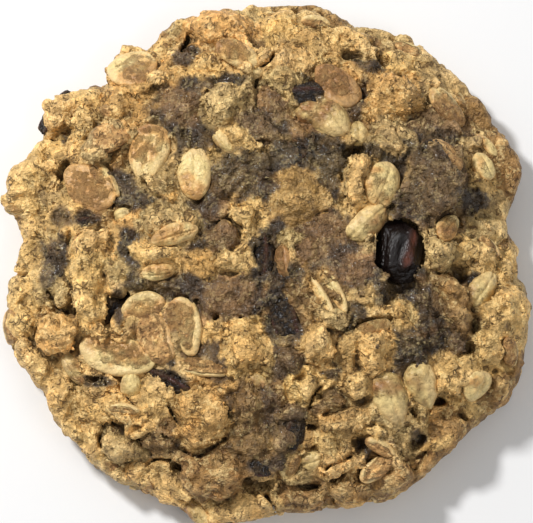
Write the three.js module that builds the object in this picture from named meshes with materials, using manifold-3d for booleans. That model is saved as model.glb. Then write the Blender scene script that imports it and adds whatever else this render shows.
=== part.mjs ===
// An oatmeal raisin cookie, lying on the plane z = 0 with +Z up. All lengths are millimetres.
//
// The cookie is one craggy solid: a low round body of lumpy dough, with rolled oats and plump oat
// kernels joined onto it, and with pits, cracks and raisin pockets cut out of it.
// Each raisin is a solid of its own that lies in its pocket with a thin gap all round.

import * as THREE from 'three';
import { mergeVertices } from 'three/addons/utils/BufferGeometryUtils.js';
import Module from 'manifold-3d';

const wasm = await Module();
wasm.setup();

// ---------------------------------------------------------------- driving dimensions

const CROWN_HEIGHT = 14.6;    // top of the dough body, in the middle
const SHOULDER_HEIGHT = 4;    // where the rounded top meets the side wall
const CROWN_POWER = 3.2;      // how far out the top stays flat
const CROWN_ROUNDING = 0.6;   // how round the top's edge is
const FOOT_SHARE = 0.93;      // the flat underside's radius, as a share of the rim's
const RAISIN_GAP = 0.35;      // clear space between a raisin and the dough round it
const LUMP_LEAN = 0.55;       // how much a lump tips with the slope that it lies on
const LUMP_RISE = 1.45;       // how far the lumps stand out, against the rises in their lists
const OAT_THICKNESS = 1.5;    // a rolled oat swollen by baking
const OAT_LIFT = 0.35;        // how far an oat's middle plane lies over the dough
const BODY_DETAIL = 16;       // facets of the body: 20 * (BODY_DETAIL + 1) ** 2
const UNDERSIDE_SHARE = 0.15; // how densely the flat underside is faceted, against the top
const CRUMB = 0.22;           // depth of the crumbly roughness
const CRISP_LENGTH = 5.9;     // an oat at least this long keeps crisp edges; a shorter one is a low bump

// The dough body's rim seen from above, before its lumps: [direction in degrees, radius].
const RIM = [
  [0, 38.6], [10, 36.6], [22, 41.0], [45, 41.0], [68, 40.2], [82, 41.0], [97, 39.9], [110, 40.3],
  [120, 38.2], [132, 38.4], [145, 41.0], [151, 39.2], [162, 41.2], [175, 37.3], [195, 40.8], [210, 38.9],
  [224, 40.0], [250, 38.8], [258, 39.8], [272, 37.7], [285, 38.2], [294, 39.7], [318, 39.0], [334, 41.6],
  [350, 39.8],
];

// Lumps of dough: [x, y, length, width, turn in degrees, rise over the dome].
const TOP_LUMPS = [
  [-6.5, 34.3, 13.0, 10.5, 0, 2.4], [2.5, 30.8, 6.0, 4.0, 20, 1.1], [2.5, 36.0, 6.0, 6.0, 0, 1.4],
  [2.0, 40.0, 8.0, 3.0, 10, 0.8], [8.0, 39.5, 10.0, 3.5, -15, 1.0], [11.5, 35.3, 8.0, 4.5, -10, 1.6],
  [8.5, 32.5, 6.0, 5.0, 0, 1.0], [15.2, 32.5, 4.0, 3.0, 0, 1.0], [-6.2, 22.8, 7.0, 6.5, 60, 1.7],
  [17.5, 37.0, 7.0, 3.5, -30, 0.9], [-14.0, 37.3, 8.0, 5.0, 45, 1.2], [-14.0, 24.0, 7.5, 6.0, 30, 0.5],
  [-2.0, 19.0, 6.0, 4.0, -20, 0.6],
];
const UPPER_RIGHT_LUMPS = [
  [19.3, 24.7, 11.0, 9.0, -10, 1.9], [17.8, 18.8, 7.0, 4.0, -25, 0.8], [26.5, 31.0, 11.0, 5.5, -40, 1.4],
  [32.7, 25.0, 6.5, 6.0, -60, 1.6], [26.5, 20.7, 9.0, 2.8, -5, 0.6], [37.2, 15.5, 11.0, 7.0, -65, 2.1],
  [31.8, 18.0, 6.0, 4.0, 10, 0.9], [25.0, 12.2, 13.0, 10.5, 90, 2.4], [13.2, 11.8, 8.5, 6.0, 90, 1.7],
  [19.5, 31.0, 5.0, 2.5, -10, 0.7],
];
const UPPER_LEFT_LUMPS = [
  [-32.5, 24.0, 9.5, 6.5, 50, 2.0], [-28.5, 25.5, 5.5, 4.0, 45, 1.4], [-28.5, 21.0, 6.0, 5.0, 90, 1.4],
  [-29.5, 17.0, 3.5, 3.5, 0, 1.1], [-22.5, 25.5, 8.0, 5.0, -10, 1.6], [-37.2, 13.0, 7.5, 7.0, 0, 2.2],
  [-35.5, 17.5, 7.0, 3.2, 10, 1.2], [-33.5, 13.8, 3.5, 2.8, 0, 1.4], [-38.0, 8.5, 6.0, 5.0, 130, 1.4],
  [-40.4, 10.8, 2.8, 2.6, 0, 0.8], [-31.5, 6.5, 4.0, 3.0, 0, 0.8], [-16.5, 11.5, 4.0, 2.5, 0, 0.7],
];
const LEFT_LUMPS = [
  [-37.0, 1.0, 6.0, 4.2, 80, 1.3], [-26.0, 0.8, 8.0, 5.0, 15, 1.9], [-27.5, -4.0, 6.0, 4.5, 90, 1.7],
  [-27.0, -8.5, 6.0, 4.0, 100, 1.5], [-25.5, -11.8, 4.0, 3.5, 0, 1.2], [-22.0, -3.8, 6.0, 4.0, 0, 1.1],
  [-35.0, -5.0, 6.0, 5.0, 0, 1.1], [-31.0, -5.0, 5.0, 3.0, 90, 0.9], [-36.5, -9.3, 6.0, 5.0, 0, 1.3],
  [-31.5, -11.0, 8.0, 7.0, 90, 1.9], [-15.5, 4.6, 9.0, 7.0, 10, 1.5], [-17.5, -0.9, 6.0, 4.0, 0, 1.3],
  [-35.0, -16.3, 7.0, 6.0, 90, 1.6], [-32.0, -21.8, 8.0, 7.5, 60, 1.9],
];
const MIDDLE_LUMPS = [
  [-3.5, 6.0, 6.0, 4.5, 10, 1.5], [2.8, 9.3, 7.5, 6.5, 0, 1.4], [4.5, 2.8, 6.0, 3.0, 0, 0.8],
  [6.0, -6.8, 5.5, 3.5, 80, 0.9], [-5.3, -0.6, 5.0, 4.0, 0, 1.2], [-10.5, -1.2, 4.5, 3.2, 90, 1.0],
  [-5.8, -6.5, 8.0, 5.0, 0, 0.9], [10.2, -8.6, 4.0, 3.5, 0, 1.0], [-2.3, -15.0, 7.4, 7.0, 90, 2.2],
  [-6.4, -14.4, 2.2, 1.8, 0, 1.2], [7.6, -14.0, 6.2, 5.2, 80, 1.8], [3.5, -16.0, 4.0, 4.0, 0, 0.8],
  [-7.8, -15.8, 4.0, 4.0, 0, 0.5],
];
const RIGHT_LUMPS = [
  [26.2, 1.5, 6.0, 6.0, 0, 1.3], [34.0, 6.0, 4.5, 4.0, 0, 1.0], [31.8, 1.5, 6.5, 5.0, -45, 1.4],
  [36.2, 0.0, 4.0, 3.6, 0, 1.1], [28.2, -7.0, 10.0, 5.0, -65, 1.5], [36.0, -9.0, 10.0, 9.0, 80, 2.0],
  [16.3, -14.0, 6.0, 5.0, 80, 1.3], [12.6, -14.0, 5.0, 4.0, 90, 1.2], [28.3, -13.0, 2.8, 2.6, 0, 0.9],
  [34.5, -14.3, 10.0, 6.5, -10, 1.4], [35.6, -18.8, 6.0, 6.0, 0, 1.3], [28.3, -18.0, 8.5, 7.5, 0, 1.6],
];
const LOWER_LUMPS = [
  [-18.0, -22.0, 8.5, 6.0, 0, 1.3], [-27.0, -23.5, 7.0, 5.0, 60, 1.1], [-28.3, -28.0, 6.0, 4.5, -45, 1.0],
  [-22.5, -29.0, 8.0, 5.5, -20, 1.0], [-25.0, -31.5, 6.0, 4.0, -40, 1.0], [-16.5, -34.3, 9.0, 5.0, -20, 1.4],
  [-17.0, -27.5, 7.0, 4.5, 0, 0.8], [-10.0, -24.4, 9.6, 7.4, 90, 2.1], [-4.2, -22.3, 6.0, 5.0, 0, 0.8],
  [-3.0, -27.8, 7.0, 4.4, 0, 0.9], [-8.8, -33.6, 11.5, 7.5, 0, 1.9], [-4.0, -38.2, 9.0, 5.5, 0, 1.4],
  [6.4, -20.3, 5.2, 5.0, 0, 1.4], [11.0, -22.2, 6.0, 2.8, 0, 0.8], [11.2, -25.4, 7.5, 4.2, 0, 1.1],
  [9.6, -29.3, 5.2, 4.2, 80, 1.3], [6.5, -36.7, 11.0, 6.0, 0, 1.6], [13.5, -35.0, 7.0, 5.0, 10, 1.3],
  [19.3, -32.2, 6.8, 5.6, 20, 1.6], [19.5, -27.5, 6.0, 3.2, 0, 0.9], [28.2, -27.0, 9.0, 7.0, 75, 1.8],
  [13.2, -19.6, 6.0, 5.0, 0, 1.3], [24.0, -32.0, 7.0, 4.4, 35, 1.1],
];
const LUMPS = [
  ...TOP_LUMPS, ...UPPER_RIGHT_LUMPS, ...UPPER_LEFT_LUMPS, ...LEFT_LUMPS, ...MIDDLE_LUMPS, ...RIGHT_LUMPS,
  ...LOWER_LUMPS,
];

// Rolled oats lying on the dough: [x, y, length, width, turn in degrees].
const OATS = [
  [-21.3, 30.8, 8.6, 7.0, -35], [-18.3, 16.5, 9.6, 6.2, 80], [-27.5, 11.0, 9.5, 6.0, -35],
  [-24.2, 11.4, 8.0, 3.4, -50], [-24.5, 18.2, 7.0, 4.6, 20], [10.5, 27.0, 8.5, 5.4, -45],
  [-11.3, 12.6, 8.8, 5.2, 92], [-4.8, 31.0, 8.5, 4.5, -35], [27.5, 24.5, 8.0, 4.0, -55],
  [33.2, 15.0, 4.6, 3.5, 110], [17.4, 12.3, 8.5, 6.0, 70], [-14.5, 3.0, 7.0, 3.0, 15],
  [-17.0, -2.8, 5.0, 2.4, 10], [-18.7, -7.2, 6.8, 4.0, 10], [-17.0, -12.0, 9.3, 4.8, 110],
  [-21.5, -15.0, 13.6, 6.4, -12], [-12.7, -11.7, 8.6, 5.5, 105], [-10.3, -17.5, 8.6, 2.8, -8],
  [27.2, 4.9, 4.5, 2.4, 35], [8.6, -5.6, 8.0, 4.4, -55], [16.5, -11.6, 5.6, 2.4, 15],
  [31.4, -19.5, 5.8, 5.6, 80], [17.6, -28.9, 5.6, 2.8, -40], [15.6, -32.4, 5.0, 3.4, 35],
  [-21.6, -24.0, 5.2, 2.6, -8], [21.8, 33.9, 5.5, 2.6, -30], [-24.2, 23.2, 3.6, 2.4, -25],
  [3.4, -31.6, 5.2, 4.0, 75], [-39.0, 8.6, 4.2, 1.8, 15], [36.8, -14.2, 5.5, 2.6, -60],
];

// Plump oat kernels: [x, y, length, width, turn in degrees].
const KERNELS = [
  [9.7, 21.0, 6.6, 5.0, -40], [6.6, 22.6, 3.2, 2.6, 0], [14.0, 18.7, 4.3, 2.8, 95], [15.0, 4.3, 7.0, 5.0, 42],
  [32.7, -4.3, 6.6, 3.9, 50], [-6.8, 17.5, 4.6, 2.2, -50], [-28.5, 3.0, 4.0, 2.2, 15],
  [-21.3, -19.8, 3.8, 3.1, 80], [23.5, -19.6, 7.4, 5.0, -72], [18.9, -22.4, 8.8, 5.4, -66],
  [-30.0, -16.7, 6.2, 2.4, -55], [-10.6, -38.9, 6.0, 2.6, -48], [-1.5, -19.7, 2.8, 1.8, -40],
  [2.4, -1.2, 5.0, 2.8, 100], [6.4, -31.2, 4.2, 3.4, 0],
];

// Raisins: name, centre, size along its own axes, turn about Z in degrees.
const RAISINS = [
  { name: 'raisin_right', at: [20.2, 0.9, 12.7], size: [10.2, 7.8, 7.2], turn: 84, folds: 5 },
  { name: 'raisin_centre_upper', at: [-0.6, -0.4, 13.4], size: [8.6, 4.6, 4.8], turn: 92, folds: 4 },
  { name: 'raisin_centre_lower', at: [2.7, -9.8, 13.3], size: [10.4, 5.0, 5.0], turn: -68, folds: 4 },
  { name: 'raisin_lower_left', at: [-14.3, -18.9, 11.7], size: [8.6, 6.0, 5.0], turn: -20, folds: 4 },
  { name: 'raisin_left_hollow', at: [-23.4, -8.3, 9.9], size: [7.8, 4.6, 4.6], turn: 88, folds: 4 },
  { name: 'raisin_left_small', at: [-20.9, -0.9, 13.0], size: [4.6, 3.0, 3.4], turn: 80, folds: 3 },
  { name: 'raisin_left_upper', at: [-27.4, 5.2, 11.8], size: [5.0, 3.6, 3.4], turn: 20, folds: 3 },
  { name: 'raisin_left_rim', at: [-32.6, 24.1, 6.3], size: [8.2, 3.8, 4.2], turn: 52, folds: 4 },
  { name: 'raisin_top', at: [5.8, 25.4, 12.5], size: [7.0, 4.8, 4.4], turn: 5, folds: 4 },
  { name: 'raisin_upper_middle', at: [4.5, 15.5, 13.9], size: [4.2, 2.8, 2.8], turn: 60, folds: 3 },
  { name: 'raisin_lower_middle', at: [3.6, -26.3, 12.0], size: [6.6, 4.6, 4.4], turn: 75, folds: 4 },
  { name: 'raisin_lower_small', at: [-1.5, -31.9, 10.9], size: [5.0, 3.8, 3.4], turn: -5, folds: 3 },
  { name: 'raisin_bottom_rim', at: [-7.2, -39.0, 5.0], size: [4.4, 3.0, 3.0], turn: -10, folds: 3 },
];
const LARGE_RAISINS = [6.5, 9.8];   // a raisin at least this long gets finer facets, in two steps
const FOLD_DEPTH = 0.16;      // depth of a raisin's folds, as a share of its radius

// Pits in the top: [x, y, length, width, turn in degrees, depth].
const PITS = [
  [-2.0, -34.4, 3.6, 2.4, 0, 4.0], [14.3, -29.6, 3.6, 2.6, 100, 3.2], [23.3, -27.5, 3.2, 2.6, 60, 3.0],
  [-14.7, -32.3, 2.2, 2.0, -40, 2.6], [13.6, -22.6, 3.6, 1.8, 20, 2.2], [-23.6, -8.6, 7.6, 4.8, 90, 4.4],
  [-31.6, 20.2, 3.0, 2.4, 0, 2.2], [29.9, -2.3, 3.6, 1.8, -65, 2.4], [30.2, -13.6, 2.4, 2.0, 0, 2.2],
  [26.6, -22.8, 2.6, 1.4, -10, 2.4], [-29.4, -19.4, 2.4, 1.6, -20, 2.2], [13.3, 32.3, 2.0, 1.6, 0, 2.0],
  [-10.7, 37.5, 2.0, 1.8, 0, 2.2], [17.4, 31.2, 2.4, 1.6, 0, 2.0], [-31.6, 13.8, 3.6, 1.6, 80, 2.4],
  [12.4, 16.3, 2.6, 2.0, 40, 2.0],
];
const RAISIN_HOLLOWS = [[17.0, 1.2, 6.5, 2.6, 80, 3.0], [20.6, -4.9, 5.0, 2.6, -10, 2.4]];

// Cracks in the dough: [width, depth, the points that it runs through].
const CRACKS = [
  [0.9, 1.6, [[-13.2, -29.6], [-10.2, -30.4], [-7.4, -29.3]]],
  [0.7, 1.4, [[-19.2, -32.1], [-15.6, -31.0]]],
  [0.8, 1.5, [[-15.2, -23.4], [-12.4, -26.3]]],
  [0.7, 1.3, [[-24.6, -24.2], [-22.4, -26.0]]],
  [0.9, 1.6, [[-1.2, -35.4], [0.6, -37.8]]],
  [0.8, 1.5, [[4.4, -34.6], [8.2, -34.8]]],
  [0.8, 1.5, [[9.4, -32.6], [12.8, -31.3]]],
  [0.9, 1.8, [[-33.2, -4.8], [-31.6, -7.2], [-29.2, -8.4]]],
  [0.8, 1.6, [[-1.6, 26.0], [-0.8, 28.6], [1.6, 32.4]]],
  [0.9, 1.8, [[-12.2, 35.0], [-13.9, 32.8]]],
  [0.8, 1.5, [[8.3, -20.0], [6.4, -22.8]]],
];

// The lumps that stand out of the side wall, spread round the cookie by a seeded rule.
const WALL_LUMPS = { count: 34, seed: 7, length: [4.5, 8], width: [3.2, 5], rise: [0.7, 1.3], height: [2.6, 5.4] };

// ---------------------------------------------------------------- small helpers

const radians = THREE.MathUtils.degToRad;
const mix = THREE.MathUtils.lerp;

// A repeatable random number from 0 to 1 for each whole number i.
function seeded(i, seed) {
  const wave = Math.sin(i * 12.9898 + seed * 78.233) * 43758.5453;
  return wave - Math.floor(wave);
}

// A smooth uneven value from about -1 to 1 that varies over about 3 / scale millimetres.
function uneven(x, y, z, scale) {
  const first = Math.sin(scale * (1.3 * x + 0.7 * y - 0.9 * z) + 1.1);
  const second = Math.sin(scale * (-0.8 * x + 1.5 * y + 0.6 * z) + 4.2);
  const third = Math.sin(scale * (0.5 * x - 0.6 * y + 1.6 * z) + 2.4);
  return (first + second + third) / 3;
}

// The rim's radius in one direction, eased from each RIM point to the next.
function rimRadius(angle) {
  const degrees = THREE.MathUtils.euclideanModulo(THREE.MathUtils.radToDeg(angle), 360);
  let next = RIM.findIndex(([direction]) => direction > degrees);
  if (next < 0) next = RIM.length;
  const [from, fromRadius] = RIM[next - 1];
  const [to, toRadius] = next < RIM.length ? RIM[next] : [360, RIM[0][1]];
  return mix(fromRadius, toRadius, THREE.MathUtils.smoothstep(degrees, from, to));
}

// The height of the smooth dome at a share of the rim's radius.
function crownAtShare(share) {
  return SHOULDER_HEIGHT + (CROWN_HEIGHT - SHOULDER_HEIGHT) * (1 - share ** CROWN_POWER) ** CROWN_ROUNDING;
}

// The height of the smooth dome over (x, y); at the rim and past it, it stays a little over the shoulder.
function crownHeight(x, y) {
  const outermost = 0.985;
  return crownAtShare(Math.min(Math.hypot(x, y) / rimRadius(Math.atan2(y, x)), outermost));
}

// A frame at a point, with its Z near the given slopes' normal and its X turned from +X by turn.
function frameOn(x, y, z, slopeX, slopeY, turn) {
  const up = new THREE.Vector3(-slopeX, -slopeY, 1).normalize();
  const along = new THREE.Vector3(Math.cos(radians(turn)), Math.sin(radians(turn)), 0);
  along.addScaledVector(up, -along.dot(up)).normalize();
  const across = new THREE.Vector3().crossVectors(up, along);
  return new THREE.Matrix4().makeBasis(along, across, up).setPosition(x, y, z);
}

// A frame on the dome at (x, y), tipped by lean times the dome's own slope there.
function domeFrame(x, y, turn, lean) {
  const step = 0.6;
  const slopeX = (crownHeight(x + step, y) - crownHeight(x - step, y)) / (2 * step);
  const slopeY = (crownHeight(x, y + step) - crownHeight(x, y - step)) / (2 * step);
  return frameOn(x, y, crownHeight(x, y), lean * slopeX, lean * slopeY, turn);
}

// A frame on the side wall, with its Z pointing out.
function wallFrame(angle, height) {
  const out = new THREE.Vector3(Math.cos(angle), Math.sin(angle), 0.25).normalize();
  const along = new THREE.Vector3(-Math.sin(angle), Math.cos(angle), 0);
  const across = new THREE.Vector3().crossVectors(out, along);
  const radius = rimRadius(angle);
  const frame = new THREE.Matrix4().makeBasis(along, across, out);
  return frame.setPosition(radius * Math.cos(angle), radius * Math.sin(angle), height);
}

// The same geometry with shared corners, and without the empty triangles at a pole.
function welded(geometry) {
  geometry.deleteAttribute('normal');
  geometry.deleteAttribute('uv');
  const merged = mergeVertices(geometry, 1e-4);
  const corners = merged.index.array;
  const kept = [];
  for (let i = 0; i < corners.length; i += 3) {
    const [a, b, c] = [corners[i], corners[i + 1], corners[i + 2]];
    if (a !== b && b !== c && c !== a) kept.push(a, b, c);
  }
  merged.setIndex(kept);
  return merged;
}

// Moves every point of a geometry to where place(point) puts it.
function reshape(geometry, place) {
  const points = geometry.attributes.position;
  const point = new THREE.Vector3();
  for (let i = 0; i < points.count; i += 1) {
    place(point.fromBufferAttribute(points, i), i);
    points.setXYZ(i, point.x, point.y, point.z);
  }
  return geometry;
}

function toSolid(geometry) {
  return new wasm.Manifold(new wasm.Mesh({
    numProp: 3,
    vertProperties: new Float32Array(geometry.attributes.position.array),
    triVerts: new Uint32Array(geometry.index.array),
  }));
}

// The largest closed shell of a solid, so that loose scraps and sealed hollows are left out.
function largestShell(solid) {
  const { vertProperties, triVerts } = solid.getMesh();
  const parent = Array.from({ length: vertProperties.length / 3 }, (_, i) => i);
  const root = (i) => {
    let top = i;
    while (parent[top] !== top) top = parent[top];
    parent[i] = top;
    return top;
  };
  for (let i = 0; i < triVerts.length; i += 3) {
    parent[root(triVerts[i + 1])] = root(triVerts[i]);
    parent[root(triVerts[i + 2])] = root(triVerts[i]);
  }
  const counts = new Map();
  for (const corner of triVerts) counts.set(root(corner), (counts.get(root(corner)) ?? 0) + 1);
  const main = [...counts].reduce((best, entry) => (entry[1] > best[1] ? entry : best))[0];
  const geometry = new THREE.BufferGeometry();
  geometry.setAttribute('position', new THREE.BufferAttribute(new Float32Array(vertProperties), 3));
  geometry.setIndex([...triVerts].filter((corner) => root(corner) === main));
  return geometry;
}

// ---------------------------------------------------------------- the dough

// Where a lump lies and how large it is: most of it is sunk in the dough.
function sunkForm(half, rise, frame) {
  frame.multiply(new THREE.Matrix4().makeTranslation(0, 0, rise - half[2]));
  return { half, inverse: frame.clone().invert() };
}

function topLump([x, y, length, width, turn, rise]) {
  const stand = LUMP_RISE * rise;
  const half = [length / 2, width / 2, Math.max(1.5 * stand, 1.2)];
  return sunkForm(half, stand, domeFrame(x, y, turn, LUMP_LEAN));
}

function wallLump(_, i) {
  const { count, seed, length, width, rise, height } = WALL_LUMPS;
  const angle = ((i + 0.7 * seeded(i, seed)) / count) * 2 * Math.PI;
  const stand = mix(...rise, seeded(i, seed + 1));
  const half = [mix(...length, seeded(i, seed + 2)) / 2, mix(...width, seeded(i, seed + 3)) / 2, 2 * stand];
  return sunkForm(half, stand, wallFrame(angle, mix(...height, seeded(i, seed + 4))));
}

const LUMP_FORMS = LUMPS.map(topLump);
const WALL_FORMS = Array.from({ length: WALL_LUMPS.count }, wallLump);

// How far a ray from a point leaves a lump, or 0 where it misses the lump.
function exitDistance({ half, inverse }, point, direction) {
  const start = point.clone().applyMatrix4(inverse);
  const ray = point.clone().add(direction).applyMatrix4(inverse).sub(start);
  start.set(start.x / half[0], start.y / half[1], start.z / half[2]);
  ray.set(ray.x / half[0], ray.y / half[1], ray.z / half[2]);
  const along = start.dot(ray);
  const inside = along * along - ray.lengthSq() * (start.lengthSq() - 1);
  return inside > 0 ? Math.max(0, (Math.sqrt(inside) - along) / ray.lengthSq()) : 0;
}

// The height over (x, y) of the dome with its lumps on.
function lumpyHeight(x, y) {
  const foot = new THREE.Vector3(x, y, 0);
  const up = new THREE.Vector3(0, 0, 1);
  return Math.max(crownHeight(x, y), ...LUMP_FORMS.map((form) => exitDistance(form, foot, up)));
}

// A frame on the lumpy top, tipped to lie on the dough under a piece of the given size.
function restingFrame([x, y, length, width, turn], steepest) {
  const bearing = 0.36;       // the piece lies on points this share of its size from its middle
  const [c, s] = [Math.cos(radians(turn)), Math.sin(radians(turn))];
  const heightAt = (along, across) => lumpyHeight(x + along * c - across * s, y + along * s + across * c);
  const [front, back] = [heightAt(bearing * length, 0), heightAt(-bearing * length, 0)];
  const [left, right] = [heightAt(0, bearing * width), heightAt(0, -bearing * width)];
  const middle = (front + back + left + right) / 4;
  const lengthwise = (front - back) / (2 * bearing * length);
  const crosswise = (left - right) / (2 * bearing * width);
  const slopeX = THREE.MathUtils.clamp(lengthwise * c - crosswise * s, -steepest, steepest);
  const slopeY = THREE.MathUtils.clamp(lengthwise * s + crosswise * c, -steepest, steepest);
  return frameOn(x, y, (middle + lumpyHeight(x, y)) / 2, slopeX, slopeY, turn);
}

// A short oat or kernel is a low bump on the lumps.
const isLow = ([, , length]) => length < CRISP_LENGTH;
const lowBump = (least, share) => (piece) => {
  const [, , length, width] = piece;
  const stand = Math.max(least, share * width);
  return sunkForm([length / 2, width / 2, 1.6 * stand], stand, restingFrame(piece, 0.8));
};

// The body's section from the crown to the middle of the underside: share of the rim, height, and
// the area up to there, in which the underside counts for less.
function bodySection() {
  const dome = Array.from({ length: 41 }, (_, i) => Math.sin((i / 40) * (Math.PI / 2)));
  const underside = Array.from({ length: 12 }, (_, i) => FOOT_SHARE * (1 - i / 11));
  const section = [
    ...dome.map((share) => ({ share, z: crownAtShare(share) })),
    { share: 1, z: 2.8 }, { share: 0.972, z: 0.9 },
    ...underside.map((share) => ({ share, z: 0 })),
  ];
  const rim = rimRadius(0);
  section[0].area = 0;
  section.slice(1).forEach((point, i) => {
    const last = section[i];
    const length = Math.hypot(rim * (point.share - last.share), point.z - last.z);
    const density = point.z === 0 && last.z === 0 ? UNDERSIDE_SHARE : 1;
    point.area = last.area + density * length * (point.share + last.share + 0.001);
  });
  return section;
}
const SECTION = bodySection();

// The share and height at a part of the section's area, from 0 at the crown to 1 under it.
function alongSection(part) {
  const area = THREE.MathUtils.clamp(part, 0, 1) * SECTION.at(-1).area;
  const next = Math.max(1, SECTION.findIndex((point) => point.area >= area));
  const [from, to] = [SECTION[next - 1], SECTION[next]];
  const way = (area - from.area) / (to.area - from.area);
  return { share: mix(from.share, to.share, way), z: mix(from.z, to.z, way) };
}

// The lumpy body: a ball's points spread evenly over the smooth body, then pushed out to the lumps.
function doughBody() {
  const ball = welded(new THREE.IcosahedronGeometry(1, BODY_DETAIL));
  const normal = new THREE.Vector3();
  const topForms = [...LUMP_FORMS, ...WALL_FORMS, ...OATS.filter(isLow).map(lowBump(0.35, 0.22))];
  topForms.push(...KERNELS.filter(isLow).map(lowBump(0.5, 0.3)));
  return reshape(ball, (point, i) => {
    const angle = Math.atan2(point.y, point.x);
    const part = (1 - THREE.MathUtils.clamp(point.z, -1, 1)) / 2;
    const { share, z } = alongSection(part);
    const [inner, outer] = [alongSection(part - 0.004), alongSection(part + 0.004)];
    const rim = rimRadius(angle);
    const [drop, run] = [inner.z - outer.z, rim * (outer.share - inner.share)];
    normal.set(drop * Math.cos(angle), drop * Math.sin(angle), Math.max(0, run)).normalize();
    point.set(share * rim * Math.cos(angle), share * rim * Math.sin(angle), z);
    if (z <= 0) return;
    const forms = z > SHOULDER_HEIGHT ? topForms : WALL_FORMS;
    const push = Math.max(...forms.map((form) => exitDistance(form, point, normal)));
    const crumb = CRUMB * (2 * seeded(i, 5) - 1) + 0.3 * uneven(point.x, point.y, point.z, 0.6);
    point.addScaledVector(normal, (push + crumb) * THREE.MathUtils.smoothstep(z, 0, 2));
  });
}

// A knobbly ball squeezed to a size, in a frame.
function knob(detail, unevenness, seed, size, frame) {
  const ball = welded(new THREE.IcosahedronGeometry(1, detail));
  reshape(ball, (point) => {
    point.multiplyScalar(1 + unevenness * uneven(point.x + seed, point.y - seed, point.z, 2.4));
    point.set(point.x * size[0], point.y * size[1], point.z * size[2]);
  });
  return ball.applyMatrix4(frame);
}

// A rolled oat: a thin oval disc, thickest in the middle and a little curled.
function rolledOat(oat, i) {
  const [, , length, width] = oat;
  const disc = welded(new THREE.SphereGeometry(1, 9, 3).rotateX(Math.PI / 2));
  reshape(disc, (point) => {
    const edge = 1 + 0.07 * uneven(point.x, point.y, i, 3);
    const curl = 0.35 * (seeded(i, 3) - 0.4) * point.x * point.x;
    const swell = 0.9 * Math.sign(point.z) * Math.abs(point.z) ** 0.6;
    point.set(point.x * edge * length / 2, point.y * edge * width / 2, curl + swell * OAT_THICKNESS / 2);
  });
  const lift = new THREE.Matrix4().makeTranslation(0, 0, OAT_LIFT);
  return disc.applyMatrix4(restingFrame(oat, 0.9).multiply(lift));
}

// A plump kernel: a full oval body that stands half out of the dough.
function kernel(piece, i) {
  const [, , length, width] = piece;
  const frame = restingFrame(piece, 0.8);
  const half = [length / 2, width / 2, 0.36 * width + 0.4];
  return knob(1, 0.06, i + 40, half, frame);
}

// ---------------------------------------------------------------- what is cut out

function pit([x, y, length, width, turn, depth], i) {
  const frame = restingFrame([x, y, length, width, turn], 0.6);
  return knob(0, 0.1, i + 90, [0.56 * length, 0.56 * width, depth], frame);
}

// A crack is a chain of thin wedges from point to point.
function crackWedges([width, depth, points]) {
  return points.slice(1).map(([x, y], i) => {
    const [fromX, fromY] = points[i];
    const run = Math.hypot(x - fromX, y - fromY);
    const turn = THREE.MathUtils.radToDeg(Math.atan2(y - fromY, x - fromX));
    const frame = restingFrame([(x + fromX) / 2, (y + fromY) / 2, run, width, turn], 0.8);
    return welded(new THREE.OctahedronGeometry(1)).scale(0.62 * run, width / 2, depth).applyMatrix4(frame);
  });
}

// ---------------------------------------------------------------- the raisins

// A shrivelled oval with folds along its length.
function raisin({ at, size, turn, folds }, i) {
  const detail = 1 + LARGE_RAISINS.filter((least) => size[0] >= least).length;
  const ball = welded(new THREE.IcosahedronGeometry(1, detail));
  reshape(ball, (point) => {
    const round = Math.atan2(point.y, point.z);
    const girth = Math.sqrt(Math.max(0, 1 - point.x * point.x));
    const fold = 0.5 + 0.5 * Math.cos(folds * round + 1.4 * point.x + 1.7 * i);
    const shrink = 1 - FOLD_DEPTH * girth * fold + 0.05 * uneven(point.x, point.y, point.z + i, 3.5);
    point.set(point.x * size[0], point.y * size[1], point.z * size[2]).multiplyScalar(shrink / 2);
  });
  ball.rotateZ(radians(turn));
  return ball.translate(...at);
}

// The space that a raisin lies in: a plain oval that clears its folds by the gap.
function raisinPocket({ at, size, turn }) {
  const flatness = 0.92;      // how near a coarse ball's facets come to its middle
  const ball = welded(new THREE.IcosahedronGeometry(1, 1));
  ball.scale(...size.map((length) => (0.51 * length + RAISIN_GAP) / flatness));
  ball.rotateZ(radians(turn));
  return ball.translate(...at);
}

// ---------------------------------------------------------------- the cookie

function cookieGeometry() {
  const isCrisp = (piece) => !isLow(piece);
  const joined = [...OATS.filter(isCrisp).map(rolledOat), ...KERNELS.filter(isCrisp).map(kernel)];
  const cut = [
    ...[...PITS, ...RAISIN_HOLLOWS].map(pit),
    ...CRACKS.flatMap(crackWedges),
    ...RAISINS.map(raisinPocket),
  ];
  let solid = toSolid(doughBody());
  for (const piece of joined) solid = solid.add(toSolid(piece));
  for (const piece of cut) solid = solid.subtract(toSolid(piece));
  return largestShell(solid);
}

function namedMesh(name, geometry, color, roughness) {
  geometry.computeVertexNormals();
  const material = new THREE.MeshStandardMaterial({ color, roughness, metalness: 0, flatShading: true });
  const mesh = new THREE.Mesh(geometry, material);
  mesh.name = name;
  return mesh;
}

const group = new THREE.Group();
group.add(namedMesh('cookie', cookieGeometry(), 0xa87f4c, 0.85));
RAISINS.forEach((row, i) => group.add(namedMesh(row.name, raisin(row, i), 0x2a1512, 0.35)));

export default group;
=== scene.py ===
# An oatmeal raisin cookie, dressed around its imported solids. Places and sizes in the tables are millimetres,
# as in the part's source; everything is scaled to metres where a mesh is made.
import math

import bmesh
import bpy
import numpy as np
from mathutils import Matrix, Vector


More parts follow.
